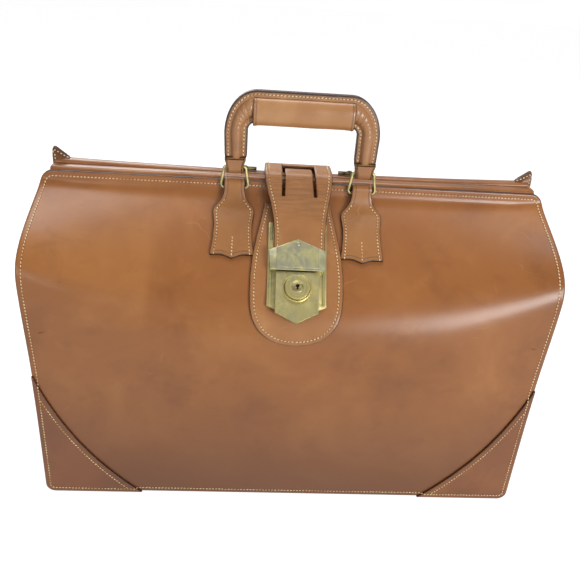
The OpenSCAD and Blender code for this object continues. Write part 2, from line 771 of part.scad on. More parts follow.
// Hasp: a folded brass cap on the strap's end, with an eye below that the bolt holds
hasp_n = plate_top_n + seat;
pocket_low_s = 3;
shoulder_s = hasp_low_s + 16.5;
hasp_top_s = hasp_low_s + hasp_len;
hasp_sheet = 0.9;
module hasp() {
    w = hasp_w / 2;
    color(brass) on_slope() difference() {
        translate([0, 0, hasp_n]) linear_extrude(hasp_h) polygon([
            [-w + 1.5, hasp_low_s], [w - 1.5, hasp_low_s], [w, shoulder_s],
            [0, hasp_top_s], [-w, shoulder_s]
        ]);
        translate([-strap_end_w / 2 - seat, pocket_low_s, hasp_n + hasp_sheet])
            cube([strap_end_w + 2 * seat, hasp_len, strap_t + seat]);
        translate([-w - 1, shoulder_s, hasp_n - 1])
            cube([2 * w + 2, hasp_len, 1 + hasp_sheet + strap_t + seat]);
        translate([0, rivet_s, hasp_n]) cylinder(h = 12, r = rivet_r + fine);
    }
}

rivet_r = 1.4;
rivet_s = hasp_top_s - 6;
module hasp_rivet() {
    low = hasp_n + hasp_sheet + seat / 2;
    color(brass) on_slope() translate([0, rivet_s, 0]) {
        translate([0, 0, low]) cylinder(h = hasp_n + hasp_h - low, r = rivet_r);
        translate([0, 0, hasp_n + hasp_h]) cylinder(h = 0.8, r1 = 2.6, r2 = 1.8);
    }
}

module hasp_staple() {
    depth = hasp_n - (plate_n - seat - bolt_t - 0.6);
    color(steel) on_slope() difference() {
        translate([-3.4, staple_s - staple_len / 2, hasp_n - depth])
            cube([6.8, staple_len, depth]);
        translate([-bolt_w / 2 - 0.3, staple_s - 5, plate_n - seat - bolt_t - 0.2])
            cube([bolt_w + 0.6, 10, bolt_t + 0.4]);
    }
}

// Strap: its side view, from the hinge line over the frame and down to the hasp
strap_n = hasp_n + hasp_sheet + seat / 2;
strap_bend_r = 12;
function slope_yz(s, n) = [
    -lock_y + s * cos(lock_tilt) - n * sin(lock_tilt),
    lock_z + s * sin(lock_tilt) + n * cos(lock_tilt)
];
// The bend's centre lies under both straight runs, r below the strap's inner face
bend_z = strap_in_z - strap_bend_r;
bend_s = (bend_z - lock_z - (strap_n - strap_bend_r) * cos(lock_tilt)) / sin(lock_tilt);
bend_y = slope_yz(bend_s, strap_n - strap_bend_r)[0];
strap_low_s = pocket_low_s + 0.5;
function strap_arc(r) = [
    for (i = [0 : 8]) let (a = 90 + lock_tilt * i / 8) [bend_y + r * cos(a), bend_z + r * sin(a)]
];
function reversed(list) = [for (i = [len(list) - 1 : -1 : 0]) list[i]];
module strap_section(end_y) {
    polygon(concat(
        [[end_y, strap_in_z + strap_t]], strap_arc(strap_bend_r + strap_t),
        [slope_yz(strap_low_s, strap_n + strap_t), slope_yz(strap_low_s, strap_n)],
        reversed(strap_arc(strap_bend_r)), [[end_y, strap_in_z]]
    ));
}

// Half width of the strap, narrowing from the frame down to the hasp
module strap_plan() {
    low = slope_yz(strap_low_s, strap_n)[1] - 6;
    neck_z = strap_in_z - 1.8 * waist_drop;
    waist = (strap_w + 2 * strap_end_w) / 6;
    polygon([
        [-strap_end_w / 2, low], [strap_end_w / 2, low],
        [strap_end_w / 2, neck_z], [waist, strap_in_z - waist_drop],
        [strap_w / 2, strap_in_z - 2], [strap_w / 2, strap_in_z + 2 * strap_t],
        [-strap_w / 2, strap_in_z + 2 * strap_t], [-strap_w / 2, strap_in_z - 2],
        [-waist, strap_in_z - waist_drop], [-strap_end_w / 2, neck_z]
    ]);
}

waist_drop = 19;

// Slit round three sides of a tongue: two legs down the front and a bar across the top
slit_t = 3;
slit_drop = 12;
slit_end_y = 7;
module slit() {
    low = strap_in_z - slit_drop;
    high = strap_in_z + 2 * strap_t;
    for (s = [-1, 1])
        translate([s * (slit_w / 2 - slit_t / 2) - slit_t / 2, -base_half, low])
            cube([slit_t, base_half + slit_end_y, high - low]);
    translate([-slit_w / 2, slit_end_y - slit_t, strap_in_z - strap_t])
        cube([slit_w, slit_t, 3 * strap_t]);
}

module closing_strap() {
    color(tan_leather) difference() {
        intersection() {
            side_plate(-strap_w / 2, strap_w) strap_section(strap_hinge_y - seat);
            translate([0, base_d, 0]) rotate([90, 0, 0]) linear_extrude(2 * base_d) strap_plan();
        }
        slit();
        on_slope() translate([0, rivet_s, 0]) cylinder(h = 30, r = rivet_r + fine);
    }
}

// Back end of the strap, stitched to the back panel
anchor_len = 44;
anchor_low = panel_top - anchor_len;
anchor_round_z = anchor_low + strap_w / 4;
anchor_rows = concat(
    [for (k = [0, 0.06, 0.2, 0.45]) anchor_low + strap_w / 4 * k],
    even_rows(anchor_round_z, panel_top - 0.5, 6)
);
module strap_anchor() {
    half = strap_w / 2;
    top = skin_point(0, panel_top - 0.5, seat);
    color(tan_leather) {
        mirrored_back() skin_sheet(anchor_rows, 4, seat, seat + strap_t,
            function(z) -anchor_half(z), function(z) anchor_half(z));
        hull() {
            translate([-half, strap_hinge_y, strap_in_z]) cube([2 * half, 0.6, strap_t]);
            translate([-half, -top[1], top[2]]) cube([2 * half, strap_t, 1]);
        }
    }
}
function anchor_half(z) =
    z > anchor_round_z
    ? strap_w / 2
    : strap_w / 2 * sqrt(max(1 - pow((anchor_round_z - z) / (strap_w / 4 + 0.5), 2), 0.05));

// Turn clips on the back jaw: a brass plate with a post, and the lever that turns on it
clip_y = bar_y;
post_r = 1.6;
clip_plate_t = 0.8;
module clip_base() {
    color(brass) translate([clip_x, clip_y, frame_top]) {
        translate([-4.5, -4, 0]) cube([9, 8, clip_plate_t]);
        cylinder(h = clip_plate_t + 3.1, r = post_r);
        translate([0, 0, clip_plate_t + 2.3]) cylinder(h = 0.8, r1 = 2.6, r2 = 2);
    }
}
module clip_lever() {
    color(brass) translate([clip_x, clip_y, frame_top + clip_plate_t + fine]) difference() {
        union() {
            cylinder(h = 2.1, r = 3.2);
            translate([-lever_len, -2.2, 0]) cube([lever_len, 4.4, 2.1]);
        }
        translate([0, 0, -1]) cylinder(h = 5, r = post_r + fine);
    }
}
module clip_base_left() { mirrored_right() clip_base(); }
module clip_base_right() { clip_base(); }
module clip_lever_left() { mirrored_right() clip_lever(); }
module clip_lever_right() { clip_lever(); }

base_panel();
base_board();
front_panel_lower();
back_panel_lower();
gusset_lower_left();
gusset_lower_right();
corner_patch_front_left();
corner_patch_front_right();
corner_patch_back_left();
corner_patch_back_right();
lining_lower();
front_panel_upper();
gusset_front_left();
gusset_front_right();
front_frame();
front_frame_cover();
frame_pivot_pins();
lining_front();
handle_tab_left();
handle_tab_right();
lock_patch();
lock_base_plate();
lock_case();
button_spring();
lock_backing_plate();
back_panel_upper();
gusset_back_left();
gusset_back_right();
back_frame();
back_frame_cover();
lining_back();
frame_end_cap_left();
frame_end_cap_right();
strap_anchor();
clip_base_left();
clip_base_right();
closing_strap();
hasp();
hasp_staple();
hasp_rivet();
handle_ring_left();
handle_ring_right();
handle_core();
handle_leather();
grip_sleeve();
clip_lever_left();
clip_lever_right();
lock_button();
key_plug();
lock_bolt();
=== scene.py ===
import math
import bpy
import bmesh
import numpy as np
from mathutils import Matrix, Vector


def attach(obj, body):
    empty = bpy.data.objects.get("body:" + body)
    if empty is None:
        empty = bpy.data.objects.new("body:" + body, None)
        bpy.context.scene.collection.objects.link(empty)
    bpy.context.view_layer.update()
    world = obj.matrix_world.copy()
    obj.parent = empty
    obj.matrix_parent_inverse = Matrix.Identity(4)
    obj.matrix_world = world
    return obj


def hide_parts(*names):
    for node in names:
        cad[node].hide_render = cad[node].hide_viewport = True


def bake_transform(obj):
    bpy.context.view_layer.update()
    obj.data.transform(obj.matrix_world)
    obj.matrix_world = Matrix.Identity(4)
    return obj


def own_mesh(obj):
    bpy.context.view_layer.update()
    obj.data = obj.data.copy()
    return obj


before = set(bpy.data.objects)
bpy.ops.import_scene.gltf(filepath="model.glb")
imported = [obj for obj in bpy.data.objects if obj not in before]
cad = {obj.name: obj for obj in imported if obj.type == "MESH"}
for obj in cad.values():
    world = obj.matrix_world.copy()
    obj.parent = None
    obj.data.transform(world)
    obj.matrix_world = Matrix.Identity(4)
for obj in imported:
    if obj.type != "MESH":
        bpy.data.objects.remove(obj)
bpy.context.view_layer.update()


# The camera
# It looks down on the case from a little to its left and is turned slightly, as it was for the
# photograph. Sizes below are in millimetres, the way the pieces were cut.
MM = 0.001


def placed(name, data):
    """A new object in the scene."""
    made = bpy.data.objects.new(name, data)
    bpy.context.scene.collection.objects.link(made)
    return made


camera_turn, camera_rise, camera_roll = (math.radians(a) for a in (-4.4, 27.4, 4.3))
camera_aim, camera_far = Vector((0.8, 0, 169.5)), 612
towards = Vector((math.sin(camera_turn) * math.cos(camera_rise),
                  -math.cos(camera_turn) * math.cos(camera_rise), math.sin(camera_rise)))
level = (-towards).cross(Vector((0, 0, 1))).normalized()
upright = level.cross(-towards)
camera = placed("camera", bpy.data.cameras.new("camera"))
camera.data.sensor_width = 36
camera.data.lens = 40.34
stand = Matrix((math.cos(camera_roll) * level + math.sin(camera_roll) * upright,
                math.cos(camera_roll) * upright - math.sin(camera_roll) * level,
                towards)).transposed().to_4x4()
stand.translation = camera_aim * MM + towards * camera_far * MM
camera.matrix_world = stand
bpy.context.scene.camera = camera


# Front and back hides
# Each is one piece of glossy bridle leather, 3 mm thick, wet moulded to a bulge and stitched
# all round. It turns upright at the top, where it is sewn along the frame.
HALF_WIDE, HIDE_T, HIDE_TOP = 215, 3.0, 279.5
FOOT_DEPTH, CREST_DEPTH, END_TUCK, FRAME_DEPTH = 89, 98.5, 12, 14.9
CREST_Z, CREST_CLIMB, LOCK_Z, FRAME_Z = 172, 51, 222.4, 268
FOOT_R, CORNER_R, GROOVE = 8, 9, 4.5


def ramp(value, start, end):
    """0 before start, 1 past end, and even between them."""
    return np.clip((value - start) / (end - start), 0, 1)


def peak(value, centre, reach):
    """1 at the centre, falling evenly to 0 at a distance reach."""
    return np.clip(1 - np.abs(value - centre) / reach, 0, 1)


def bulge(share):
    soft, power = 0.1, 0.66
    low = soft ** (2 * power)
    return ((share ** 2 + soft ** 2) ** power - low) / ((1 + soft ** 2) ** power - low)


def moulded_depth(x, z):
    """Distance from the middle plane: a crest that climbs to the ends, hollow above it."""
    crest = CREST_Z + CREST_CLIMB * (x / HALF_WIDE) ** 2
    depth = CREST_DEPTH - END_TUCK * (x / HALF_WIDE) ** 2
    lower = FOOT_DEPTH + (depth - FOOT_DEPTH) * np.sin(np.pi / 2 * np.minimum(z / crest, 1))
    upper = FRAME_DEPTH + (depth - FRAME_DEPTH) * (1 - bulge(ramp(z, crest, FRAME_Z)))
    return np.where(z <= crest, lower, upper + 1.5 * peak(z, FRAME_Z, 5.5) ** 2)


def hide_depth(x, z):
    """The moulded shape with its crest worn round, more at the middle than at the ends."""
    x, z = np.broadcast_arrays(np.asarray(x, float), np.asarray(z, float))
    from_crest = np.abs(z - CREST_Z - CREST_CLIMB * (x / HALF_WIDE) ** 2)
    beside_lock = ramp(np.abs(x), 25, 140)
    beside_lock = beside_lock ** 2 * (3 - 2 * beside_lock)
    worn_to = 46 + 14 * beside_lock
    reach = 27 + 16 * beside_lock - 20 * (x / HALF_WIDE) ** 2
    reach = reach * np.clip(1 - (from_crest / worn_to) ** 2, 0, 1)
    steps = np.linspace(-1, 1, 9)
    shares = (1.12 - np.abs(steps)) / (1.12 - np.abs(steps)).sum()
    return sum(share * moulded_depth(x, z + step * reach) for step, share in zip(steps, shares))


def hide_slope(x, z):
    above, below = np.minimum(z + 0.5, HIDE_TOP), np.maximum(z - 0.5, 0)
    return (hide_depth(x, above) - hide_depth(x, below)) / (above - below)


def dents(x, z):
    """Unevenness of the moulded leather, none at the seams and under the lock."""
    wave = (0.5 * np.sin(x / 31 + 0.6) * np.sin(z / 37 + 1.1)
            + 0.3 * np.sin(x / 19 - z / 27 + 2.0) + 0.25 * np.sin(x / 53 + z / 15))
    calm = ramp(np.abs(x), 206, 161) * ramp(z, 0, 40) * ramp(z, 266, 226)
    return 0.8 * wave * calm * (1 - np.exp(-(x / 50) ** 4))


def front_skin(x, z, off=0.0):
    x, z, off = np.broadcast_arrays(*(np.asarray(v, float) for v in (x, z, off)))
    slope = hide_slope(x, z)
    steep = np.sqrt(1 + slope ** 2)
    push = off + dents(x, z)
    return np.stack([x, -(hide_depth(x, z) + push / steep),
                     np.maximum(z - push * slope / steep, 0)], -1)


def back_skin(x, z, off=0.0):
    return front_skin(x, z, off) * [1, -1, 1]


def hide_edge(z):
    """Half width of the hides: fullest at the crest, round corners at the foot and frame."""
    z = np.asarray(z, float)
    corner_z, shoulder_z = HIDE_TOP - CORNER_R, 223

    def round_off(r, past):
        return np.where(past > 0, r - np.sqrt(np.maximum(r ** 2 - past ** 2, 0)), 0)

    shoulder = np.where(z > shoulder_z, 4.5 * ((z - shoulder_z) / (HIDE_TOP - shoulder_z)) ** 2, 0)
    full = 3.6 * np.exp(-((z - 215) / 72) ** 2)
    return HALF_WIDE + full - round_off(FOOT_R, FOOT_R - z) - shoulder - round_off(
        CORNER_R, z - corner_z)


def near_edge(groove):
    """Distances from a cut edge at which a sheet has a row of points."""
    return np.array([0, 0.25, 0.8, 2.0, groove - 0.7, groove, groove + 0.7, groove + 2.4])


def spread(start, end, pitch, near):
    first, last = start + near, end - near[::-1]
    count = max(1, round((last[0] - first[-1]) / pitch))
    return np.concatenate([first, np.linspace(first[-1], last[0], count + 1)[1:-1], last])


def to_edges(points, starts, ends):
    """Shortest distance from each point to a set of straight edges."""
    found = []
    run = ends - starts
    size = np.maximum((run ** 2).sum(-1), 1e-9)
    for part in np.array_split(points, max(1, len(points) // 1500)):
        gap = part[:, None] - starts[None]
        along = np.clip((gap * run).sum(-1) / size, 0, 1)
        found.append(np.sqrt(((gap - along[..., None] * run) ** 2).sum(-1)).min(1))
    return np.concatenate(found)


def new_piece(name, points, faces, marks=None):
    """A mesh object from points in millimetres. marks are values kept at its points."""
    mesh = bpy.data.meshes.new(name)
    mesh.from_pydata((np.asarray(points, float) * MM).tolist(), [], faces)
    for mark, values in (marks or {}).items():
        mesh.attributes.new(mark, "FLOAT", "POINT").data.foreach_set(
            "value", np.asarray(values, np.float32))
    work = bmesh.new()
    work.from_mesh(mesh)
    bmesh.ops.delete(work, geom=[v for v in work.verts if not v.link_faces], context="VERTS")
    bmesh.ops.recalc_face_normals(work, faces=work.faces)
    work.to_mesh(mesh)
    work.free()
    mesh.shade_smooth()
    return placed(name, mesh)


def slab(name, surface, low, high, holes=(), roll=0.8):
    """A sheet of leather. surface(off) gives its grid of points at a height off, holes are
    ranges of rows and columns cut out of it, and its upper edge is rolled over."""
    flat = surface(high)
    rows, cols = flat.shape[:2]
    whole = np.zeros((rows + 1, cols + 1), bool)
    whole[1:rows, 1:cols] = True
    for r0, r1, c0, c1 in holes:
        whole[r0 + 1:r1 + 1, c0 + 1:c1 + 1] = False
    at = np.arange(rows * cols).reshape(rows, cols)
    rim, outer = [], []
    for i in range(rows):
        for j in range(cols - 1):
            if whole[i, j + 1] != whole[i + 1, j + 1]:
                rim.append((at[i, j], at[i, j + 1]))
                outer.append(i in (0, rows - 1))
    for i in range(rows - 1):
        for j in range(cols):
            if whole[i + 1, j] != whole[i + 1, j + 1]:
                rim.append((at[i, j], at[i + 1, j]))
                outer.append(j in (0, cols - 1))
    corners = flat.reshape(-1, 3)
    rim = np.array(rim)
    edge = to_edges(corners, corners[rim[:, 0]], corners[rim[:, 1]])
    sewn = rim[outer]
    outer_edge = to_edges(corners, corners[sewn[:, 0]], corners[sewn[:, 1]]) if holes else edge
    inward = roll - np.minimum(edge, roll)
    drop = roll - np.sqrt(np.maximum(roll ** 2 - inward ** 2, 0))
    upper = surface(high - drop.reshape(rows, cols)).reshape(-1, 3)
    lower = surface(low).reshape(-1, 3)
    n = rows * cols
    faces = []
    for i in range(rows - 1):
        for j in range(cols - 1):
            if whole[i + 1, j + 1]:
                a, b, c, d = at[i, j], at[i, j + 1], at[i + 1, j + 1], at[i + 1, j]
                faces += [(a, b, c, d), (a + n, d + n, c + n, b + n)]
    faces += [(a, b, b + n, a + n) for a, b in rim]
    faces = [[int(v) for v in f] for f in faces]
    kept = np.where(edge < 0.2, edge, outer_edge)
    return new_piece(name, np.concatenate([upper, lower]), faces, {"rim": np.tile(kept, 2)})


def cut_sheet(name, rows, left, right, place, low, high, groove=GROOVE, columns=24,
              middle=None, holes=(), foot=None, roll=0.8):
    """A slab between two edges, left and right, given for each of its rows."""
    near = near_edge(groove)
    across = []
    for row in rows:
        a, b = float(left(row)), float(right(row))
        near_here = near * min(1, (b - a) / (2.3 * near[-1]))
        inner = (np.linspace(a + near_here[-1], b - near_here[-1], columns + 1)[1:-1]
                 if middle is None else np.asarray(middle, float))
        across.append(np.concatenate([a + near_here, inner, b - near_here[::-1]]))
    across = np.array(across)
    down = np.repeat(np.asarray(rows, float)[:, None], across.shape[1], 1)
    if foot:
        down = foot(across, down)
    return slab(name, lambda off: place(across, down, off), low, high, holes, roll)


def socket_in(made, key, value, tree):
    socket = made.inputs[key]
    if isinstance(value, bpy.types.NodeSocket):
        tree.links.new(value, socket)
    else:
        socket.default_value = value


def node(tree, kind, inputs=None, **settings):
    made = tree.nodes.new(kind)
    for name, value in settings.items():
        setattr(made, name, value)
    for key, value in (inputs or {}).items():
        socket_in(made, key, value, tree)
    return made


def calc(tree, operation, a, b=0.0, c=0.0):
    return node(tree, "ShaderNodeMath", {0: a, 1: b, 2: c}, operation=operation).outputs[0]


def times(tree, a, b):
    return calc(tree, "MULTIPLY", a, b)


def ease(tree, value, start, end, low=0.0, high=1.0):
    return node(tree, "ShaderNodeMapRange", {0: value, 1: start, 2: end, 3: low, 4: high},
                interpolation_type="SMOOTHSTEP").outputs[0]


def blended(tree, share, a, b, kind="MIX"):
    return node(tree, "ShaderNodeMix", {0: share, 6: a, 7: b}, data_type="RGBA",
                blend_type=kind).outputs[2]


def noise(tree, place, scale, detail=3.0, rough=0.55, warp=0.0):
    return node(tree, "ShaderNodeTexNoise", {"Vector": place, "Scale": scale,
                "Detail": detail, "Roughness": rough, "Distortion": warp}).outputs[0]


def stretched(tree, place, scale, turn=(0, 0, 0)):
    return node(tree, "ShaderNodeMapping", {"Vector": place, "Rotation": turn,
                "Scale": scale}).outputs[0]


def object_place(tree):
    return node(tree, "ShaderNodeTexCoord").outputs["Object"]


def dress(tree, shader, sockets, lump=None):
    """Sets a shader's sockets. lump is a height, its strength and its depth in metres."""
    if lump:
        height, strength, deep = lump
        sockets = {**sockets, "Normal": node(tree, "ShaderNodeBump", {
            "Height": height, "Strength": strength, "Distance": deep}).outputs[0]}
    for key, value in sockets.items():
        socket_in(shader, key, value, tree)


def effect(name, inputs, outputs):
    """An empty shader node group with its sockets."""
    tree = bpy.data.node_groups.new(name, "ShaderNodeTree")
    kinds = {"value": "NodeSocketFloat", "colour": "NodeSocketColor"}
    for side, sockets in (("INPUT", inputs), ("OUTPUT", outputs)):
        for socket, (kind, start) in sockets.items():
            made = tree.interface.new_socket(name=socket, in_out=side, socket_type=kinds[kind])
            if start is not None:
                made.default_value = start
    return tree, node(tree, "NodeGroupInput").outputs, node(tree, "NodeGroupOutput")


def colour(r, g, b):
    """A colour as it looks in the photograph, 0 to 255."""
    return tuple((v / 255 / 12.92 if v <= 10 else ((v / 255 + 0.055) / 1.055) ** 2.4)
                 for v in (r, g, b)) + (1.0,)


# Tanned hide: clouds and brush streaks in the colour, rubbed spots, fine scratches, pores
tanned_hide, given, result = effect("tanned hide", {
    "Tone": ("colour", colour(165, 108, 68)), "Shade": ("colour", colour(120, 72, 42)),
    "Light": ("colour", colour(190, 132, 88)), "Clouds": ("value", 1.0),
    "Rubbing": ("value", 1.0)},
    {"Colour": ("colour", None), "Roughness": ("value", None), "Height": ("value", None)})
t = tanned_hide
spot = object_place(t)
broad = noise(t, spot, 11, 4, 0.55, 0.4)
patchy = noise(t, spot, 48, 5, 0.6)
streaks = noise(t, stretched(t, spot, (30, 30, 44)), 1.0, 5, 0.6, 0.5)
fine = noise(t, spot, 420, 3, 0.6)
dark = times(t, ease(t, broad, 0.5, 0.3), given["Clouds"])
pale = times(t, ease(t, broad, 0.5, 0.72), given["Clouds"])
tint = blended(t, times(t, dark, 0.5), given["Tone"], given["Shade"])
tint = blended(t, times(t, pale, 0.55), tint, given["Light"])
tint = blended(t, times(t, ease(t, streaks, 0.52, 0.75), 0.28), tint, given["Shade"])
tint = blended(t, times(t, ease(t, patchy, 0.55, 0.8), 0.3), tint, given["Light"])
tint = blended(t, times(t, ease(t, fine, 0.62, 0.8), 0.16), tint, given["Shade"])
bent = node(t, "ShaderNodeVectorMath", {0: spot, 1: node(t, "ShaderNodeVectorMath", {
    0: node(t, "ShaderNodeTexNoise", {"Vector": spot, "Scale": 30.0, "Detail": 2.0}).outputs[1],
    3: 0.03}, operation="SCALE").outputs[0]}, operation="ADD").outputs[0]
lines = node(t, "ShaderNodeTexVoronoi", {"Vector": bent, "Scale": 34.0},
             feature="DISTANCE_TO_EDGE").outputs[0]
rare = ease(t, noise(t, spot, 23, 3, 0.6), 0.6, 0.68)
scratch = times(t, ease(t, lines, 0.016, 0.004), rare)
scuff = times(t, ease(t, noise(t, spot, 210, 6, 0.7), 0.6, 0.72),
             ease(t, noise(t, spot, 17, 2, 0.5), 0.58, 0.7))
worn = times(t, calc(t, "MAXIMUM", scratch, scuff), given["Rubbing"])
tint = blended(t, times(t, worn, 0.45), tint, given["Light"])
pores = node(t, "ShaderNodeTexVoronoi", {"Vector": spot, "Scale": 1150.0},
             feature="SMOOTH_F1").outputs[0]
creases = noise(t, stretched(t, spot, (1.0, 1.0, 2.4)), 260, 4, 0.65)
t.links.new(tint, result.inputs[0])
shine = calc(t, "ADD", calc(t, "MULTIPLY_ADD", patchy, 0.12, 0.27), times(t, worn, 0.25))
socket_in(result, 1, shine, t)
grain = calc(t, "MULTIPLY_ADD", creases, 0.5, times(t, worn, -0.3))
socket_in(result, 2, calc(t, "ADD", times(t, pores, 0.4), grain), t)

# Worked edge: a painted edge, a burnished margin and the groove that the thread lies in, which is
# darkened as painted shade. It reads the distance from the cut edge, in millimetres, that each
# sheet keeps as "rim".
worked_edge, given, result = effect("worked edge", {
    "Colour": ("colour", colour(165, 108, 68)), "Roughness": ("value", 0.35),
    "Height": ("value", 0.0), "Paint": ("colour", colour(62, 36, 24)),
    "Groove": ("value", 4.5)},
    {"Colour": ("colour", None), "Roughness": ("value", None), "Height": ("value", None)})
t = worked_edge
rim = node(t, "ShaderNodeAttribute", attribute_name="rim").outputs["Fac"]
spot = object_place(t)
uneven = noise(t, spot, 160, 3, 0.6)
reach = calc(t, "SUBTRACT", rim, calc(t, "MULTIPLY_ADD", uneven, 0.9, -0.45))
painted = ease(t, reach, 0.75, 0.25)
burnished = ease(t, reach, 3.2, 0.4)
from_groove = calc(t, "ABSOLUTE", calc(t, "SUBTRACT", rim, given["Groove"]))
groove_and_shade = ease(t, from_groove, 0.9, 0.2)
tint = blended(t, times(t, burnished, 0.35), given["Colour"],
               blended(t, 0.5, given["Colour"], given["Paint"]))
# Painted shade in the groove: its colour is pulled towards the Paint tone
tint = blended(t, times(t, groove_and_shade, 0.42), tint, given["Paint"])
tint = blended(t, painted, tint, given["Paint"])
t.links.new(tint, result.inputs[0])
socket_in(result, 1, calc(t, "MULTIPLY_ADD", painted, 0.12, given["Roughness"]), t)
socket_in(result, 2, calc(t, "MULTIPLY_ADD", groove_and_shade, -1.4, given["Height"]), t)


def place_group(tree, group, **inputs):
    made = tree.nodes.new("ShaderNodeGroup")
    made.node_tree = group
    for name, value in inputs.items():
        socket_in(made, name, value, tree)
    return made.outputs


def new_material(name):
    material = bpy.data.materials.new(name)
    material.use_nodes = True
    tree = material.node_tree
    return material, tree, tree.nodes["Principled BSDF"]


def bridle_leather(name, tone, shade, light, groove=None, clouds=1.0, rubbing=1.0,
                   coat=0.5, bump=0.3, painted_low_shade=False):
    """Glossy leather in three tones, 0 to 255. With a groove it has worked edges too."""
    material, tree, shader = new_material(name)
    tone, shade, light = colour(*tone), colour(*shade), colour(*light)
    hide = place_group(tree, tanned_hide, Tone=tone, Shade=shade, Light=light, Clouds=clouds,
                       Rubbing=rubbing)
    tint = hide["Colour"]
    if painted_low_shade:
        # Painted shade: the colour darkens towards the Shade tone below 0.15 m, most at the foot
        up = node(tree, "ShaderNodeSeparateXYZ", {0: object_place(tree)}).outputs["Z"]
        tint = blended(tree, ease(tree, up, 0.15, 0.0, 0, 0.85), tint, shade)
    if groove:
        hide = place_group(tree, worked_edge, Colour=tint, Groove=groove,
                           Roughness=hide["Roughness"], Height=hide["Height"])
    dress(tree, shader, {"Base Color": hide["Colour"], "Roughness": hide["Roughness"],
                         "Specular IOR Level": 0.25, "Coat Weight": coat,
                         "Coat Roughness": 0.27}, (hide["Height"], bump, 0.0004))
    return material


# The hides carry painted shade that darkens them towards their foot
hide_leather = bridle_leather("hide leather", tone=(153, 95, 47), shade=(112, 65, 30),
                              light=(178, 119, 65), groove=GROOVE, painted_low_shade=True)


def finish(piece, material, body=None, stands_for=()):
    """Gives a piece its material, the body that it moves with and the nodes it replaces."""
    piece.data.materials.clear()
    piece.data.materials.append(material)
    if body:
        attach(piece, body)
    if stands_for:
        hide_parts(*stands_for)
    return piece


SIDES = ((front_skin, "front", -1), (back_skin, "back", 1))
near = near_edge(GROOVE)
hide_rows = spread(0, HIDE_TOP, 4.2, near)
hide_rows = np.sort(np.concatenate([hide_rows[(hide_rows < 261) | (hide_rows > 272.5)],
                                    np.arange(262.0, 272.4, 1.7)]))
for skin, side, facing in SIDES:
    hide = cut_sheet(side + "_hide", hide_rows, lambda z: -hide_edge(z), hide_edge, skin,
                     -HIDE_T, 0, columns=96, roll=1.0)
    finish(hide, hide_leather,
           stands_for=(side + "_panel_lower", side + "_panel_upper"))
    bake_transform(hide)


# Seam stitches
# Waxed cream linen thread, saddle stitched at 2.9 mm. Each row follows a seam and lies in the
# groove that is pressed along the leather's edge.
def make_stitch_tree():
    tree = bpy.data.node_groups.new("saddle stitches", "GeometryNodeTree")
    sockets = {}
    for name, kind, start in (("Seam", "NodeSocketGeometry", None),
                              ("Pitch", "NodeSocketFloat", 0.0029),
                              ("Length", "NodeSocketFloat", 0.0023),
                              ("Width", "NodeSocketFloat", 0.00105),
                              ("Height", "NodeSocketFloat", 0.0008),
                              ("Thread", "NodeSocketMaterial", None)):
        made = tree.interface.new_socket(name=name, in_out="INPUT", socket_type=kind)
        if start is not None:
            made.default_value = start
        sockets[name] = made.identifier
    tree.interface.new_socket(name="Stitches", in_out="OUTPUT",
                              socket_type="NodeSocketGeometry")
    given = node(tree, "NodeGroupInput").outputs
    line = node(tree, "GeometryNodeMeshToCurve", {0: given["Seam"]}).outputs[0]
    beads = node(tree, "GeometryNodeResampleCurve", {"Curve": line, "Length": given["Pitch"]},
                 mode="LENGTH").outputs[0]
    outward = node(tree, "GeometryNodeInputNamedAttribute", {"Name": "outward"},
                   data_type="FLOAT_VECTOR").outputs[0]
    along = node(tree, "FunctionNodeAlignRotationToVector",
                 {"Vector": node(tree, "GeometryNodeInputTangent").outputs[0]},
                 axis="X").outputs[0]
    turned = node(tree, "FunctionNodeAlignRotationToVector",
                  {"Rotation": along, "Vector": outward}, axis="Z", pivot_axis="X").outputs[0]
    lean = node(tree, "FunctionNodeRandomValue", {"Seed": 7}, data_type="FLOAT")
    lean.inputs[2].default_value = 0.05
    lean.inputs[3].default_value = 0.32
    tilt = node(tree, "ShaderNodeCombineXYZ", {"Z": lean.outputs[1]}).outputs[0]
    leaned = node(tree, "FunctionNodeRotateRotation",
                  {0: turned, 1: node(tree, "FunctionNodeEulerToRotation",
                                      {0: tilt}).outputs[0]}, rotation_space="LOCAL").outputs[0]
    size = node(tree, "ShaderNodeCombineXYZ", {"X": given["Length"], "Y": given["Width"],
                "Z": given["Height"]}).outputs[0]
    bead = node(tree, "GeometryNodeMeshUVSphere", {"Segments": 8, "Rings": 5,
                "Radius": 0.5}).outputs[0]
    laid = node(tree, "GeometryNodeInstanceOnPoints", {"Points": beads, "Instance": bead,
                "Rotation": leaned, "Scale": size}).outputs[0]
    plain = node(tree, "GeometryNodeRealizeInstances", {0: laid}).outputs[0]
    smooth = node(tree, "GeometryNodeSetShadeSmooth", {0: plain}).outputs[0]
    done = node(tree, "GeometryNodeSetMaterial", {"Geometry": smooth,
                "Material": given["Thread"]}).outputs[0]
    end = node(tree, "NodeGroupOutput")
    tree.links.new(done, end.inputs[0])
    return tree, sockets


stitch_tree, stitch_sockets = make_stitch_tree()

waxed_thread, tree, shader = new_material("waxed thread")
spot = object_place(tree)
across_thread = stretched(tree, spot, (1, 1, 1), (0.5, 0.6, 0.4))
twist = node(tree, "ShaderNodeTexWave", {"Vector": across_thread, "Scale": 900.0,
             "Distortion": 1.5}).outputs[1]
grime = ease(tree, noise(tree, spot, 60, 4, 0.6), 0.42, 0.66)
dress(tree, shader, {"Base Color": blended(tree, grime, colour(250, 222, 172),
                                           colour(214, 170, 112)), "Roughness": 0.6},
      (twist, 0.5, 0.0002))


def plain_mesh(piece):
    """Bakes a piece's modifiers into its mesh."""
    graph = bpy.context.evaluated_depsgraph_get()
    mesh = bpy.data.meshes.new_from_object(piece.evaluated_get(graph))
    piece.modifiers.clear()
    piece.data = mesh
    return piece


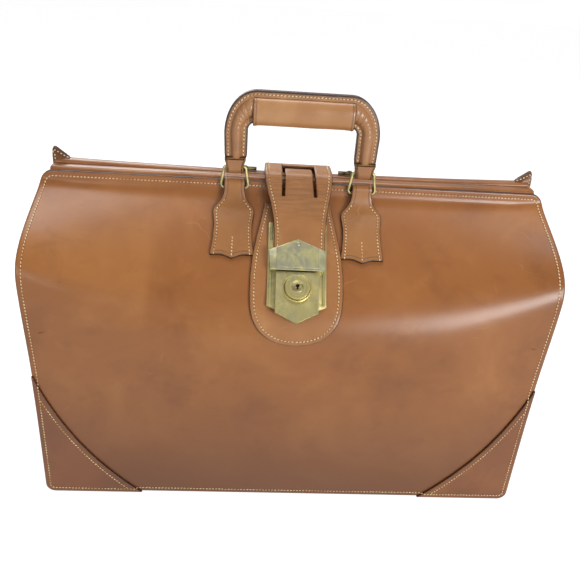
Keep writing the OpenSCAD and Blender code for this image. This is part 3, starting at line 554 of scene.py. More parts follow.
def sew(name, seams, sizes=None):
    """Stitches along seams, each a pair of points and outward directions."""
    points = np.concatenate([p for p, _ in seams])
    outward = np.concatenate([o for _, o in seams])
    edges, first = [], 0
    for p, _ in seams:
        edges += [(first + i, first + i + 1) for i in range(len(p) - 1)]
        first += len(p)
    mesh = bpy.data.meshes.new(name)
    mesh.from_pydata((points * MM).tolist(), edges, [])
    mesh.attributes.new("outward", "FLOAT_VECTOR", "POINT").data.foreach_set(
        "vector", outward.astype(np.float32).ravel())
    piece = placed(name, mesh)
    stitches = piece.modifiers.new("stitches", "NODES")
    stitches.node_group = stitch_tree
    stitches[stitch_sockets["Thread"]] = waxed_thread
    for socket, value in (sizes or {}).items():
        stitches[stitch_sockets[socket]] = value
    plain_mesh(piece)
    if "outward" in piece.data.attributes:
        piece.data.attributes.remove(piece.data.attributes["outward"])
    return piece


def seam_on(place, path, high):
    """A seam along a path of sheet coordinates, on top of a sheet laid by place."""
    path = np.asarray(path, float)
    high = np.broadcast_to(high, path.shape[:1])
    base = place(path[:, 0], path[:, 1], high)
    up = place(path[:, 0], path[:, 1], high + 1.0) - base
    up /= np.maximum(np.linalg.norm(up, axis=1, keepdims=True), 1e-9)
    return base, up


def inset(path, distance, place):
    """Moves a path of sheet coordinates to its left by a distance along the leather."""
    path = np.asarray(path, float)
    step = 0.05
    here = place(path[:, 0], path[:, 1], 0)
    per_x = np.linalg.norm(place(path[:, 0] + step, path[:, 1], 0) - here, axis=1) / step
    per_z = np.linalg.norm(place(path[:, 0], path[:, 1] - step, 0) - here, axis=1) / step
    per_z = np.maximum(per_z, 1)
    run = np.gradient(path, axis=0) * np.stack([per_x, per_z], 1)
    run /= np.maximum(np.linalg.norm(run, axis=1, keepdims=True), 1e-9)
    return path + distance * np.stack([-run[:, 1] / per_x, run[:, 0] / per_z], 1)


def lengths(path):
    """Distance along a line at each of its points."""
    return np.concatenate([[0], np.cumsum(np.linalg.norm(np.diff(path, axis=0), axis=1))])


def dense(path, pitch):
    """The same line with points every pitch, measured along its first two directions."""
    path = np.asarray(path, float)
    size = lengths(path[:, :2])
    at = np.linspace(0, size[-1], max(2, int(size[-1] / pitch)))
    return np.stack([np.interp(at, size, path[:, k]) for k in range(path.shape[1])], 1)


# Corner patches
# Leather corners, 2 mm thick and darker than the hides, sewn over the foot of both of them.
# The inner edge is an arc with a row of stitches of its own.
PATCH_T, PATCH_H, PATCH_W, PATCH_BOW = 2.0, 126.0, 86.0, 10.0
chord = math.hypot(PATCH_H, PATCH_W)
arc_r = ((chord / 2) ** 2 + PATCH_BOW ** 2) / (2 * PATCH_BOW)
arc_x = PATCH_W / 2 + (arc_r - PATCH_BOW) * PATCH_H / chord
arc_z = PATCH_H / 2 + (arc_r - PATCH_BOW) * PATCH_W / chord


def patch_reach(z):
    """How far the patch reaches in from the side seam at height z."""
    return arc_x - np.sqrt(np.maximum(arc_r ** 2 - (np.asarray(z, float) - arc_z) ** 2, 0))


def patch_inner(z):
    return np.minimum(HALF_WIDE - patch_reach(z), hide_edge(z) - 2.0)


patch_leather = bridle_leather("corner patch leather", tone=(131, 77, 38), shade=(96, 54, 26),
                               light=(163, 104, 56), groove=GROOVE, rubbing=1.4)
patch_rows = np.concatenate([spread(0, 112, 3.6, near), np.linspace(113.5, 124.5, 9)])
HANDS = (("left", -1), ("right", 1))
for skin, side, _ in SIDES:
    for hand, turn in HANDS:
        patch = cut_sheet("corner_" + side + "_" + hand, patch_rows, patch_inner, hide_edge,
                          lambda x, z, off, skin=skin, turn=turn: skin(turn * x, z, off),
                          -0.3, PATCH_T + 0.2, columns=16, roll=1.1)
        finish(patch, patch_leather, "case",
               ("corner_patch_" + side + "_" + hand,))

# The seams run all round the hides, over the patches, and along the patches' arcs
corner_arc = np.radians(np.linspace(0, 90, 12))
side_z = np.linspace(FOOT_R, HIDE_TOP - CORNER_R, 95)
corner_z = HIDE_TOP - CORNER_R + CORNER_R * np.sin(corner_arc)
half_loop = np.concatenate([
    np.stack([np.linspace(0, 205, 60), np.zeros(60)], 1),
    np.stack([HALF_WIDE - FOOT_R + FOOT_R * np.sin(corner_arc),
              FOOT_R - FOOT_R * np.cos(corner_arc)], 1),
    np.stack([hide_edge(side_z), side_z], 1)[1:],
    np.stack([hide_edge(corner_z), corner_z], 1)[1:-1],
    np.stack([np.linspace(hide_edge(HIDE_TOP), 0, 60), np.full(60, HIDE_TOP)], 1)])
half_seam = inset(half_loop, GROOVE, front_skin)
half_seam = half_seam[half_seam[:, 0] >= 0]
outer_loop = dense(np.concatenate([half_seam, half_seam[::-1][1:] * [-1, 1]]), 1.4)
on_patch = ((np.abs(outer_loop[:, 0]) > patch_inner(outer_loop[:, 1]))
            & (outer_loop[:, 1] < 124))
rise = np.convolve(np.where(on_patch, PATCH_T + 0.2, 0.0), np.ones(3) / 3, "same")
arc_down = np.linspace(122, 1, 80)
arc_seam = dense(inset(np.stack([patch_inner(arc_down), arc_down], 1), GROOVE, front_skin), 1.4)
arc_seam = arc_seam[arc_seam[:, 0] < hide_edge(arc_seam[:, 1]) - 5.5]
arc_seam = arc_seam[arc_seam[:, 1] > 5.5]
for skin, side, facing in SIDES:
    row = sew(side + "_hide_stitches", [seam_on(skin, outer_loop, rise + 0.1)])
    finish(row, waxed_thread)
    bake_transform(row)
    arcs = sew(side + "_patch_stitches", [seam_on(skin, arc_seam * [turn, 1], PATCH_T + 0.3)
                                          for turn in (-1, 1)])
    finish(arcs, waxed_thread, "case")


# Base and stiffener
# A dark leather base whose turned-down edges are sewn to the hides, with a pressed fibre
# board laid on it inside.
def along(path, skin=None, on_skin=0.0):
    """Lays a sheet along a side view, points of (y, z). Outward is to the path's left. With
    a skin it rests on that hide where on_skin is 1."""
    path = np.asarray(path, float)
    size = lengths(path)
    run = np.gradient(path, axis=0) / np.gradient(size)[:, None]
    run /= np.linalg.norm(run, axis=1, keepdims=True)
    on_skin = np.broadcast_to(on_skin, size.shape)

    def place(x, s, off=0.0):
        x, s, off = np.broadcast_arrays(*(np.asarray(v, float) for v in (x, s, off)))
        y, z, ny, nz = (np.interp(s, size, v) for v in (*path.T, -run[:, 1], run[:, 0]))
        free = np.stack([x, y + off * ny, z + off * nz], -1)
        if skin is None:
            return free
        share = np.interp(s, size, on_skin)[..., None]
        return free * (1 - share) + skin(x, z, off + 0.3) * share
    return size, place


def arc(y, z, r, start, end, count=9):
    """Points of an arc in the side view, angles from +y towards +z."""
    a = np.radians(np.linspace(start, end, count))
    return np.stack([y + r * np.cos(a), z + r * np.sin(a)], 1)


base_leather = bridle_leather("base leather", tone=(103, 61, 30), shade=(72, 41, 19),
                              light=(129, 81, 42), groove=GROOVE, rubbing=1.6, coat=0.2)
base_path = np.concatenate([[[85.6, 0.4], [85.6, 3]], arc(82.1, 4.9, 3.5, 0, 90),
                            [[70, 8.4], [0, 8.5], [-70, 8.4]],
                            arc(-82.1, 4.9, 3.5, 90, 180), [[-85.6, 3], [-85.6, 0.4]]])
base_size, base_place = along(base_path)
BASE_HALF = 205.3
base = cut_sheet("base_leather", spread(0, base_size[-1], 6, near), lambda s: -BASE_HALF,
                 lambda s: BASE_HALF, base_place, -1.2, 0.9, columns=40)
finish(base, base_leather, "case", ("base_panel",))


def paint(material, *parts):
    """Gives solids that have no visual piece of their own their material."""
    for part in parts:
        cad[part].data.materials.clear()
        cad[part].data.materials.append(material)


fibre_board, tree, shader = new_material("fibre board")
spot = object_place(tree)
fibres = noise(tree, stretched(tree, spot, (120, 700, 700)), 1.0, 5, 0.7, 0.5)
tint = blended(tree, ease(tree, fibres, 0.35, 0.65), colour(150, 140, 122),
               colour(182, 172, 152))
dress(tree, shader, {"Base Color": tint, "Roughness": 0.85}, (fibres, 0.4, 0.0003))
paint(fibre_board, "base_board")


# Gussets
# The end walls. Below the fold each is one dark, soft piece with its margins turned out to
# the seams. Above it each is two half leaves, one to each side, joined by a folding pleat.
gusset_leather = bridle_leather("gusset leather", tone=(118, 70, 35), shade=(81, 47, 23),
                                light=(144, 92, 48), groove=GROOVE, clouds=1.3, coat=0.2)
WALL_X, LEAF_X, LEAF_TOP, GUSSET_T, TURN_R = 206.85, 199.25, 262.0, 2.2, 4.5


def seam_y(x, z):
    """Distance from the middle plane to a gusset's margin, inside a hide."""
    return -front_skin(x, z, -HIDE_T - GUSSET_T / 2 - 0.2)[..., 1]


def gusset_grid(wall_x, u, z):
    """Middle surface and outward directions of an end wall. u runs across it: 0 at the
    middle, 1 where it starts to turn, 2 where it lies on the hide, 3 at the seam."""
    side, far = np.sign(u), np.abs(u)
    y_wall = seam_y(wall_x + 4, z) - TURN_R
    turn = np.radians(90 * ramp(far, 1, 2))
    edge = hide_edge(z) - 0.4
    x = np.where(far <= 2, wall_x + TURN_R - TURN_R * np.cos(turn),
                 wall_x + TURN_R + (edge - wall_x - TURN_R) * (far - 2))
    y = np.where(far <= 1, far * y_wall, y_wall + TURN_R * np.sin(turn))
    y = np.where(far > 2, seam_y(x, z), y)
    sag = 1.2 * np.sin(np.clip(z, 0, 150) / 150 * np.pi) * np.cos(np.clip(far, 0, 1) * np.pi / 2)
    nx, ny = np.cos(turn), -np.sin(turn) * side
    mid = np.stack([x + (sag if wall_x == WALL_X else 0), side * y, z], -1)
    return mid, np.stack([nx, ny, np.zeros_like(nx)], -1)


def end_wall(name, wall_x, u, z, turn):
    mid, out = gusset_grid(wall_x, u, z)
    return slab(name, lambda off: (mid + out * np.asarray(off)[..., None]) * [turn, 1, 1],
                -GUSSET_T / 2, GUSSET_T / 2, roll=0.6)


half_u = np.concatenate([np.linspace(0, 0.97, 17), np.linspace(1, 2, 7), np.linspace(2.2, 3, 5)])
u_all = np.concatenate([-half_u[::-1], half_u[1:]])
share = np.concatenate([[0, 0.004, 0.012], np.linspace(0.03, 0.97, 30), [0.988, 0.996, 1]])
# The fold runs across each end as a V: heights at its middle and at the hides
wall_v, leaf_v = (139, 167.6), (144.5, 168.5)
for hand, turn in HANDS:
    u, v = np.meshgrid(u_all, share)
    ceiling = wall_v[0] + (wall_v[1] - wall_v[0]) * np.clip(np.abs(u), 0, 1)
    finish(end_wall("gusset_low_" + hand, WALL_X, u, 0.3 + v * (ceiling - 0.3), turn),
           gusset_leather, "case", ("gusset_lower_" + hand,))
    for _, side, facing in SIDES:
        u, v = np.meshgrid(np.concatenate([np.linspace(0.008, 0.97, 17), half_u[17:]]), share)
        floor_z = leaf_v[0] + (leaf_v[1] - leaf_v[0]) * np.clip(u, 0, 1)
        finish(end_wall("gusset_" + side + "_leaf_" + hand, LEAF_X, facing * u,
                        floor_z + v * (LEAF_TOP - floor_z), turn),
               gusset_leather, side + "_side",
               ("gusset_" + side + "_" + hand,))
        # The pleat's edges, on the wall and on the leaf: along the V, then up the middle
        fixed = dense(np.array([[205.6, facing * 88, 167.0], [205.4, facing * 0.6, 139.5],
                                [204.4, facing * 0.5, 146], [204.2, facing * 0.4, 261]]), 3)
        moving = dense(np.array([[200.6, facing * 88, 168.6], [200.0, facing * 4.4, 145.5],
                                 [199.6, facing * 1.0, 152], [199.6, facing * 0.8, 261]]), 3)
        moving = moving[np.linspace(0, len(moving) - 1, len(fixed)).round().astype(int)]
        cross = np.linspace(0, 1, 13)[:, None, None]
        mid = fixed[None] * (1 - cross) + moving[None] * cross

        def pleat_surface(off, mid=mid, turn=turn, facing=facing):
            off = np.broadcast_to(np.asarray(off, float), mid.shape[:2])[..., None]
            return (mid + off * np.array([0.35, facing * 0.9, 0.2])) * [turn, 1, 1]

        pleat = finish(slab("pleat_" + side + "_" + hand, pleat_surface, 0, 0.9, roll=0.3),
                       gusset_leather)
        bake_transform(pleat)


# Linings
# Thin tan suede glued to the inside of the hides and over the board. Each side's lining is
# one sheet.
suede, tree, shader = new_material("suede lining")
spot = object_place(tree)
nap = noise(tree, spot, 900, 4, 0.7)
brushed = noise(tree, spot, 16, 3, 0.6, 0.6)
tint = blended(tree, ease(tree, brushed, 0.35, 0.65), colour(170, 138, 98),
               colour(198, 166, 124))
tint = blended(tree, ease(tree, nap, 0.5, 0.8, 0, 0.35), tint, colour(140, 110, 76))
dress(tree, shader, {"Base Color": tint, "Roughness": 0.92, "Sheen Weight": 0.35},
      (nap, 0.5, 0.0003))
LINED = 0.915  # share of the hide's width
for skin, side, facing in SIDES:
    lining = cut_sheet("lining_sheet_" + side, spread(10.5, 261, 6, near),
                       lambda z: -LINED * hide_edge(z), lambda z: LINED * hide_edge(z), skin,
                       -HIDE_T - 1.1, -HIDE_T - 0.15, columns=48, roll=0.3)
    finish(lining, suede, stands_for=("lining_" + side,))
    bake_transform(lining)
deck_path = [[84.0, 14.0], [78, 12.8], [0, 12.75], [-78, 12.8], [-84.0, 14.0]]
deck_size, deck_place = along(deck_path)
deck = cut_sheet("lining_deck", spread(0, deck_size[-1], 8, near), lambda s: -197, lambda s: 197,
                 deck_place, 0, 0.8, columns=40, roll=0.3)
finish(deck, suede, "case", ("lining_lower",))


# Frame
# Two brushed steel bars with arms at their ends, pinned together low on the gussets. Each bar
# is covered with leather that is rolled over it and sewn to the top of its hide.
frame_steel, tree, shader = new_material("frame steel")
spot = object_place(tree)
drawn = noise(tree, stretched(tree, spot, (30, 900, 900)), 1.0, 4, 0.6)
spots = noise(tree, spot, 130, 5, 0.65)
tint = blended(tree, ease(tree, spots, 0.55, 0.75), colour(178, 178, 180),
               colour(128, 120, 112))
dress(tree, shader, {"Base Color": tint, "Metallic": 1.0,
                     "Roughness": calc(tree, "MULTIPLY_ADD", drawn, 0.2, 0.22)},
      (drawn, 0.25, 0.0002))
paint(frame_steel, "front_frame", "back_frame", "frame_pivot_pins", "lock_backing_plate",
      "hasp_staple", "lock_bolt")


def loft(name, rings, marks=None, loop=False):
    """A body through a row of rings, each the same number of points round. A loop has its
    last ring joined to its first, any other is capped."""
    rings = np.asarray(rings, float)
    count, around = rings.shape[:2]
    faces = []
    for i in range(count if loop else count - 1):
        for j in range(around):
            k, m = (j + 1) % around, (i + 1) % count
            faces.append((i * around + j, i * around + k, m * around + k, m * around + j))
    if not loop:
        faces += [tuple(range(around))[::-1],
                  tuple((count - 1) * around + j for j in range(around))]
    return new_piece(name, rings.reshape(-1, 3), faces, marks)


def rounded(corners, radii, count=6):
    """A closed outline with each corner rounded by its own radius."""
    corners = np.asarray(corners, float)
    radii = np.broadcast_to(radii, len(corners))
    found = []
    for i, here in enumerate(corners):
        a, b = corners[i - 1] - here, corners[(i + 1) % len(corners)] - here
        a, b = a / np.linalg.norm(a), b / np.linalg.norm(b)
        half = math.acos(np.clip(a @ b, -1, 1)) / 2
        if radii[i] < 1e-6:
            found.append(here[None])
            continue
        back = radii[i] / math.tan(half)
        centre = here + (a + b) / np.linalg.norm(a + b) * radii[i] / math.sin(half)
        first, last = here + a * back - centre, here + b * back - centre
        start = math.atan2(first[1], first[0])
        sweep = (math.atan2(last[1], last[0]) - start + math.pi) % (2 * math.pi) - math.pi
        angle = start + sweep * np.linspace(0, 1, count)
        found.append(centre + radii[i] * np.stack([np.cos(angle), np.sin(angle)], 1))
    return np.concatenate(found)


cover_leather = bridle_leather("frame leather", tone=(149, 94, 49), shade=(105, 63, 31),
                               light=(180, 125, 73), clouds=1.2, coat=0.5)
cover_outline = rounded([[-11.7, 262.5], [-11.7, 281.5], [-0.7, 281.5], [-0.7, 262.5],
                         [-2.9, 262.5], [-2.9, 279.2], [-9.4, 279.2], [-9.4, 262.5]],
                        [0.6, 3.8, 2.6, 0.4, 0.4, 0.6, 0.6, 0.4])
cover_ends = np.array([204.5, 205.6, 206.3, 206.5])
cover_at = np.concatenate([-cover_ends[::-1], np.linspace(-200, 200, 81), cover_ends])
cover_tuck = np.interp(np.abs(cover_at), cover_ends, [0, 0.25, 0.8, 1.3])
for side, facing, end_bow, phase in (("front", 1, 0.5, 0.0), ("back", -1, 3.2, 2.4)):
    rings = []
    for x, tuck in zip(cover_at, cover_tuck):
        y, z = cover_outline[:, 0], cover_outline[:, 1]
        high, outside = ramp(z, 264, 281), y < -6
        z = z + end_bow * (x / 206) ** 2 * high
        y = y + (np.where(outside, 1, -1) * tuck
                 + 0.22 * np.sin(x / 21 + phase) * np.where(outside, 1, 0)) * high
        z = z - (tuck + 0.12 + 0.12 * np.sin(x / 33 + phase)) * high
        rings.append(np.stack([np.full_like(y, x), facing * y, z], 1))
    finish(loft(side + "_jaw_leather", rings), cover_leather, side + "_side",
           (side + "_frame_cover",))

# Ears: the ends of the back jaw's leather, folded up to a point and stitched
ear_leather = bridle_leather("ear leather", tone=(120, 74, 38), shade=(77, 45, 23),
                             light=(176, 126, 73), groove=2.6, coat=0.3)
EAR_TIP, EAR_Y, EAR_Z = 207.4, 6.4, 284.2
ear_at = np.array([194, 195.2, 196.6, 198.2, 199.8, 201.2, 202.5, 203.7, 204.8, 205.7, 206.4,
                   206.9, 207.2, EAR_TIP])
ear_high = np.interp(ear_at, [194, 198.5, 202, 204.8, 206.2, EAR_TIP],
                     [0.6, 4.6, 7.4, 9.6, 9.9, 7.8])
ear_thick = np.interp(ear_at, [194, 197, 206.7, EAR_TIP], [2.0, 3.6, 3.8, 2.9])
for hand, turn in HANDS:
    rings, rims = [], []
    for x, high, thick in zip(ear_at, ear_high, ear_thick):
        up = np.array([-0.9, 0.2, 0.45, 0.7, 0.86, 0.95, 1.0]) * high
        y = thick * np.array([1.25, 1.2, 1.0, 0.8, 0.68, 0.5, 0.2])
        ring = np.concatenate([np.stack([EAR_Y - y, up], 1), np.stack([EAR_Y + y, up], 1)[::-1]])
        rings.append(np.stack([np.full(len(ring), turn * x), ring[:, 0], EAR_Z + ring[:, 1]], 1))
        rims.append(np.minimum(high - ring[:, 1], EAR_TIP - x + 0.3))
    finish(loft("frame_ear_" + hand, rings, {"rim": np.concatenate(rims)}), ear_leather,
           "back_side", ("frame_end_cap_" + hand,))
    ear_seams = []
    for facing in (-1, 1):
        line = np.stack([ear_at[1:-2], ear_high[1:-2] * 0.72, ear_thick[1:-2] * 0.86], 1)
        line = np.concatenate([line, [[204.9, 3.0, 4.4], [204.9, 0.4, 4.7]]])
        line = dense(line, 1.2)
        ear_seams.append((np.stack([turn * line[:, 0], EAR_Y + facing * line[:, 2],
                                    EAR_Z + line[:, 1]], 1),
                          np.tile([0.0, facing, 0.3], (len(line), 1))))
    finish(sew("ear_stitches_" + hand, ear_seams, {"Length": 0.0018, "Pitch": 0.0026}),
           waxed_thread, "back_side")


# Handle tabs
# Tabs of leather, 2.4 mm thick, sewn to the front hide. Each narrows to a neck that folds over
# the lower bar of its ring.
RING_X, RING_Y, RING_Z, RING_TOP, WIRE_R = 53.5, -18.8, 274.0, 292, 1.3
TAB_T, TAB_GROOVE, TAB_FOLD_Z, NECK_HALF = 2.4, 3.0, RING_Z + 4.6, 8.5


def bezier(points, count=12):
    a, b, c, d = (np.asarray(p, float) for p in points)
    t = np.linspace(0, 1, count)[:, None]
    return (1 - t) ** 3 * a + 3 * (1 - t) ** 2 * t * b + 3 * (1 - t) * t ** 2 * c + t ** 3 * d


tab_leather = bridle_leather("tab leather", tone=(164, 110, 62), shade=(120, 76, 43),
                             light=(192, 141, 89), groove=TAB_GROOVE, rubbing=1.2)
tab_z = np.linspace(227.2, 257, 27)
tab_face = np.stack([-hide_depth(RING_X, tab_z), tab_z], 1)
leave = (tab_face[-1] - tab_face[-2]) / np.linalg.norm(tab_face[-1] - tab_face[-2])
tab_rise = bezier([tab_face[-1], tab_face[-1] + leave * 7, [RING_Y - 1.6, 268.5],
                   [RING_Y - 1.6, TAB_FOLD_Z - 0.6]])
tab_path = np.concatenate([tab_face, tab_rise[1:], arc(RING_Y, TAB_FOLD_Z, 1.6, 180, 0, 13),
                           [[RING_Y + 1.6, 273], [RING_Y + 1.5, 268.5]]])
tab_rest = np.interp(tab_path[:, 1], [249, 257], [1, 0]) * (np.arange(len(tab_path)) < 32)
tab_size, tab_laid = along(tab_path, front_skin, tab_rest)
tab_top = len(tab_face) + 11


def tab_half(s):
    share = (np.interp(s, tab_size, tab_path[:, 1]) - 230) / 38
    half = np.interp(share, [0, 0.12, 0.3, 0.46, 0.58, 0.65, 0.7, 0.76, 0.83, 0.91, 1, 1.12],
                     [17.6, 16.9, 16.1, 15.9, 16.7, 17.3, 17.2, 16.0, 13.4, 11.0, 9.4, NECK_HALF])
    return np.where(np.asarray(s) > tab_size[tab_top], NECK_HALF, half)


def tab_foot(x, s):
    """The foot is nearly straight, with a small point at the middle."""
    return s + 3.2 * (1 - peak(x, 0, 9) ** 1.3) * ramp(s, 14, 0)


tab_side = np.linspace(np.interp(265, tab_path[:tab_top, 1], tab_size[:tab_top]), 4.4, 60)
tab_side = inset(np.stack([-tab_half(tab_side), tab_side], 1), TAB_GROOVE, tab_laid)
tab_middle = np.stack([np.zeros(14), np.linspace(18, 3.2, 14)], 1)
for hand, turn in HANDS:
    def tab_place(x, s, off=0.0, turn=turn):
        return tab_laid(x + turn * RING_X, s, off)

    tab = cut_sheet("ring_tab_" + hand, spread(0, tab_size[-1], 1.7, near_edge(TAB_GROOVE)),
                    lambda s: -tab_half(s), tab_half, tab_place, 0, TAB_T, groove=TAB_GROOVE,
                    columns=12, foot=tab_foot)
    finish(tab, tab_leather, "front_side", ("handle_tab_" + hand,))
    rows = [seam_on(tab_place, dense(path, 1.4), TAB_T + 0.05)
            for path in (tab_side, tab_side * [-1, 1], tab_middle)]
    finish(sew("tab_stitches_" + hand, rows, {"Length": 0.002}), waxed_thread, "front_side")


# Handle rings
# Brass wire, 2.6 mm thick, bent round and soldered shut: a wide lower bar that the tab's neck
# folds over and a narrower one in the foot of the handle.
aged_brass, tree, shader = new_material("aged brass")
spot = object_place(tree)
patina = noise(tree, spot, 70, 5, 0.62, 0.8)
brushing = noise(tree, stretched(tree, spot, (900, 60, 60)), 1.0, 4, 0.65)
specks = noise(tree, spot, 520, 4, 0.7)
tint = blended(tree, ease(tree, patina, 0.42, 0.6), colour(192, 180, 124), colour(162, 154, 114))
tint = blended(tree, ease(tree, noise(tree, spot, 34, 3, 0.5), 0.55, 0.7, 0, 0.6), tint,
               colour(208, 190, 122))
tint = blended(tree, ease(tree, specks, 0.62, 0.78, 0, 0.6), tint, colour(84, 75, 50))
dulled = calc(tree, "ADD", calc(tree, "MULTIPLY_ADD", brushing, 0.22, 0.3),
              ease(tree, patina, 0.42, 0.6, 0, 0.16))
dress(tree, shader, {"Base Color": tint, "Roughness": dulled, "Metallic": 1.0},
      (calc(tree, "ADD", brushing, specks), 0.22, 0.0002))

ring_line = rounded([[-11.7, RING_Z], [11.7, RING_Z], [8.7, RING_TOP], [-8.7, RING_TOP]],
                    [2.8, 2.8, 2.3, 2.3], 10)
ring_line = ring_line[np.linalg.norm(ring_line - np.roll(ring_line, 1, 0), axis=1) > 1e-6]
ring_run = np.roll(ring_line, -1, 0) - np.roll(ring_line, 1, 0)
ring_run /= np.linalg.norm(ring_run, axis=1, keepdims=True)
wire_round = np.linspace(0, 2 * np.pi, 17)[:-1]
for hand, turn in HANDS:
    wire = np.stack([
        turn * RING_X + ring_line[:, :1] + WIRE_R * np.cos(wire_round) * ring_run[:, 1:],
        np.broadcast_to(RING_Y + WIRE_R * np.sin(wire_round), (len(ring_line), 16)),
        ring_line[:, 1:] - WIRE_R * np.cos(wire_round) * ring_run[:, :1]], -1)
    finish(loft("wire_ring_" + hand, wire, loop=True), aged_brass, "ring_" + hand,
           ("handle_ring_" + hand,))


# Handle
# Leather wrapped round a core, with its cut edges sewn together and painted in a flange along
# the outside and down the legs' insides. A leather sleeve covers the grip up to the flange.
handle_skin = bridle_leather("handle leather", tone=(170, 119, 75), shade=(119, 77, 49),
                             light=(212, 165, 118), groove=2.0, clouds=1.2, coat=0.7)
FLANGE, FLANGE_HALF, INNER_FLANGE, ROLL_HALF = 5.0, 2.9, 4.2, 7.0
LEG_FOOT = 298
up_leg = np.linspace(0, 1, 16)
bend = np.radians(np.linspace(180, 90, 56))[1:]
on_top = np.linspace(0, 1, 14)[1:]


def handle_edge(foot_x, flare, bend_x, bend_z, wide, high):
    """An edge of the handle, from its left foot round both bends to its right foot."""
    line = np.concatenate([
        np.stack([foot_x - flare * up_leg, LEG_FOOT + (bend_z - LEG_FOOT) * up_leg], 1),
        np.stack([bend_x + wide * np.cos(bend), bend_z + high * np.sin(bend)], 1),
        np.stack([bend_x - bend_x * on_top, np.full(len(on_top), bend_z + high)], 1)])
    return np.concatenate([line, line[::-1][1:] * [-1, 1]])


inner_line = handle_edge(-44.0, 0.0, -38, 323, 6, 6)
outer_line = handle_edge(-62.2, 0.8, -37, 320, 26, 34.5)
handle_wide = np.linalg.norm(outer_line - inner_line, axis=1)
handle_out = (outer_line - inner_line) / handle_wide[:, None]
mid_line = (inner_line + outer_line) / 2
handle_run = lengths(mid_line)
from_end = np.minimum(handle_run, handle_run[-1] - handle_run)
in_bend = peak(from_end, 40, 18)
crease = 2 * np.pi * handle_run / 3.9 + 0.9 * np.sin(handle_run / 2.9)
crease = np.maximum(np.sin(crease), 0) ** 2
handle_rings, handle_rims = [], []
for inner, out, wide, at, soft, fold in zip(inner_line, handle_out, handle_wide, from_end,
                                            in_bend, crease):
    foot = max(0.0, 1 - at / 5.0)
    low, high = INNER_FLANGE, wide - FLANGE
    deep = ROLL_HALF - 1.2 * foot
    roll = np.cos(np.linspace(0, np.pi, 21))
    r = np.concatenate([[wide, wide, wide - 0.35, wide - 1.4, wide - 3.1, high + 0.6],
                        (low + high) / 2 + (high - low) / 2 * roll,
                        [low - 0.5, 2.6, 1.0, 0.3, 0, 0]])
    across = np.clip(np.abs((r - (low + high) / 2) / ((high - low) / 2)), 0, 1)
    power = 2.2
    d = deep * (1 - across ** power) ** (1 / power)
    d = d * (1 - 0.15 * soft * fold * (1 - 0.5 * (r / wide) ** 2) * (across < 1))
    thin = np.interp(r, [0, 0.3, 1.0, 3.1, wide - 3.1, wide - 1.4, wide - 0.35, wide],
                     [1.5, 2.0, 2.2, 2.05, FLANGE_HALF - 0.2, FLANGE_HALF, FLANGE_HALF - 0.2,
                      FLANGE_HALF - 0.8])
    d = np.maximum(d, thin)
    d[0] = d[-1] = 0.0
    squeeze = (r - wide / 2) * (1 - 0.16 * foot ** 1.5) + wide / 2
    flat = inner[None] + out[None] * squeeze[:, None]
    d = d * (1 - 0.2 * foot ** 3)
    front, behind = (np.stack([flat[:, 0], RING_Y + facing * d, flat[:, 1]], 1)
                     for facing in (-1, 1))
    handle_rings.append(np.concatenate([front, behind[-2:0:-1]]))
    rim = np.maximum(np.minimum(wide - r, r) - 1.1, 0)
    handle_rims.append(np.concatenate([rim, rim[-2:0:-1]]))
finish(loft("handle_wrap", handle_rings, {"rim": np.concatenate(handle_rims)}), handle_skin,
       "handle", ("handle_leather", "handle_core"))

HANDLE_SEAM = 3.1
outer_seam = outer_line - handle_out * HANDLE_SEAM
inner_seam = inner_line + handle_out * HANDLE_SEAM
legs = np.flatnonzero((np.abs(inner_line[:, 0]) > 40.5) & (from_end > 4))
left_leg, right_leg = (legs[inner_line[legs, 0] * turn > 0] for turn in (-1, 1))
handle_rows = []
for facing in (-1, 1):
    for line, high in ((outer_seam[from_end > 4], FLANGE_HALF - 0.1),
                       (inner_seam[left_leg], 2.15), (inner_seam[right_leg], 2.15)):
        line = dense(line, 1.2)
        handle_rows.append((
            np.stack([line[:, 0], np.full(len(line), RING_Y + facing * high), line[:, 1]], 1),
            np.tile([0.0, facing, 0.0], (len(line), 1))))
finish(sew("handle_stitches", handle_rows, {"Length": 0.0023, "Pitch": 0.0029}), waxed_thread,
       "handle")

# Foot loops: the legs' ends, folded round the rings' upper bars
LOOP_TOP, LOOP_R, LOOP_GROOVE = 301, 1.5, 2.0
round_bar = arc(RING_Y, RING_TOP, LOOP_R, 0, -180, 15)
loop_path = np.concatenate([
    np.linspace([RING_Y + LOOP_R, LOOP_TOP], round_bar[0], 8)[:-1], round_bar[:-1],
    np.linspace(round_bar[-1], [RING_Y - LOOP_R, LOOP_TOP], 8)])
loop_size, loop_laid = along(loop_path)
loop_plain = bridle_leather("loop leather", tone=(163, 113, 71), shade=(111, 71, 43),
                            light=(207, 160, 114), groove=30.0, clouds=1.2, coat=0.45)


def loop_half(s):
    z = np.interp(s, loop_size, loop_path[:, 1])
    return float(np.interp(z, [RING_TOP, 295.5, 298.5, LOOP_TOP], [7.1, 7.6, 8.6, 8.6]))


for hand, turn in HANDS:
    loop = cut_sheet("foot_loop_" + hand, spread(0, loop_size[-1], 1.0, near_edge(LOOP_GROOVE)),
                     lambda s: -loop_half(s), loop_half,
                     lambda x, s, off, turn=turn: loop_laid(x + turn * RING_X, s, off),
                     0, 4.3, groove=LOOP_GROOVE, columns=8, roll=1.3)
    finish(loop, loop_plain, "handle")

# Sleeve: a wrap round the grip, open along the flange, that dips a little at its ends
sleeve_skin = bridle_leather("sleeve leather", tone=(179, 126, 79), shade=(129, 86, 51),
                             light=(212, 165, 115), groove=2.4, coat=0.75)
SLEEVE_HALF, SLEEVE_Z = 40.5, 338.2
turn_round = np.radians(np.linspace(17, 343, 45))


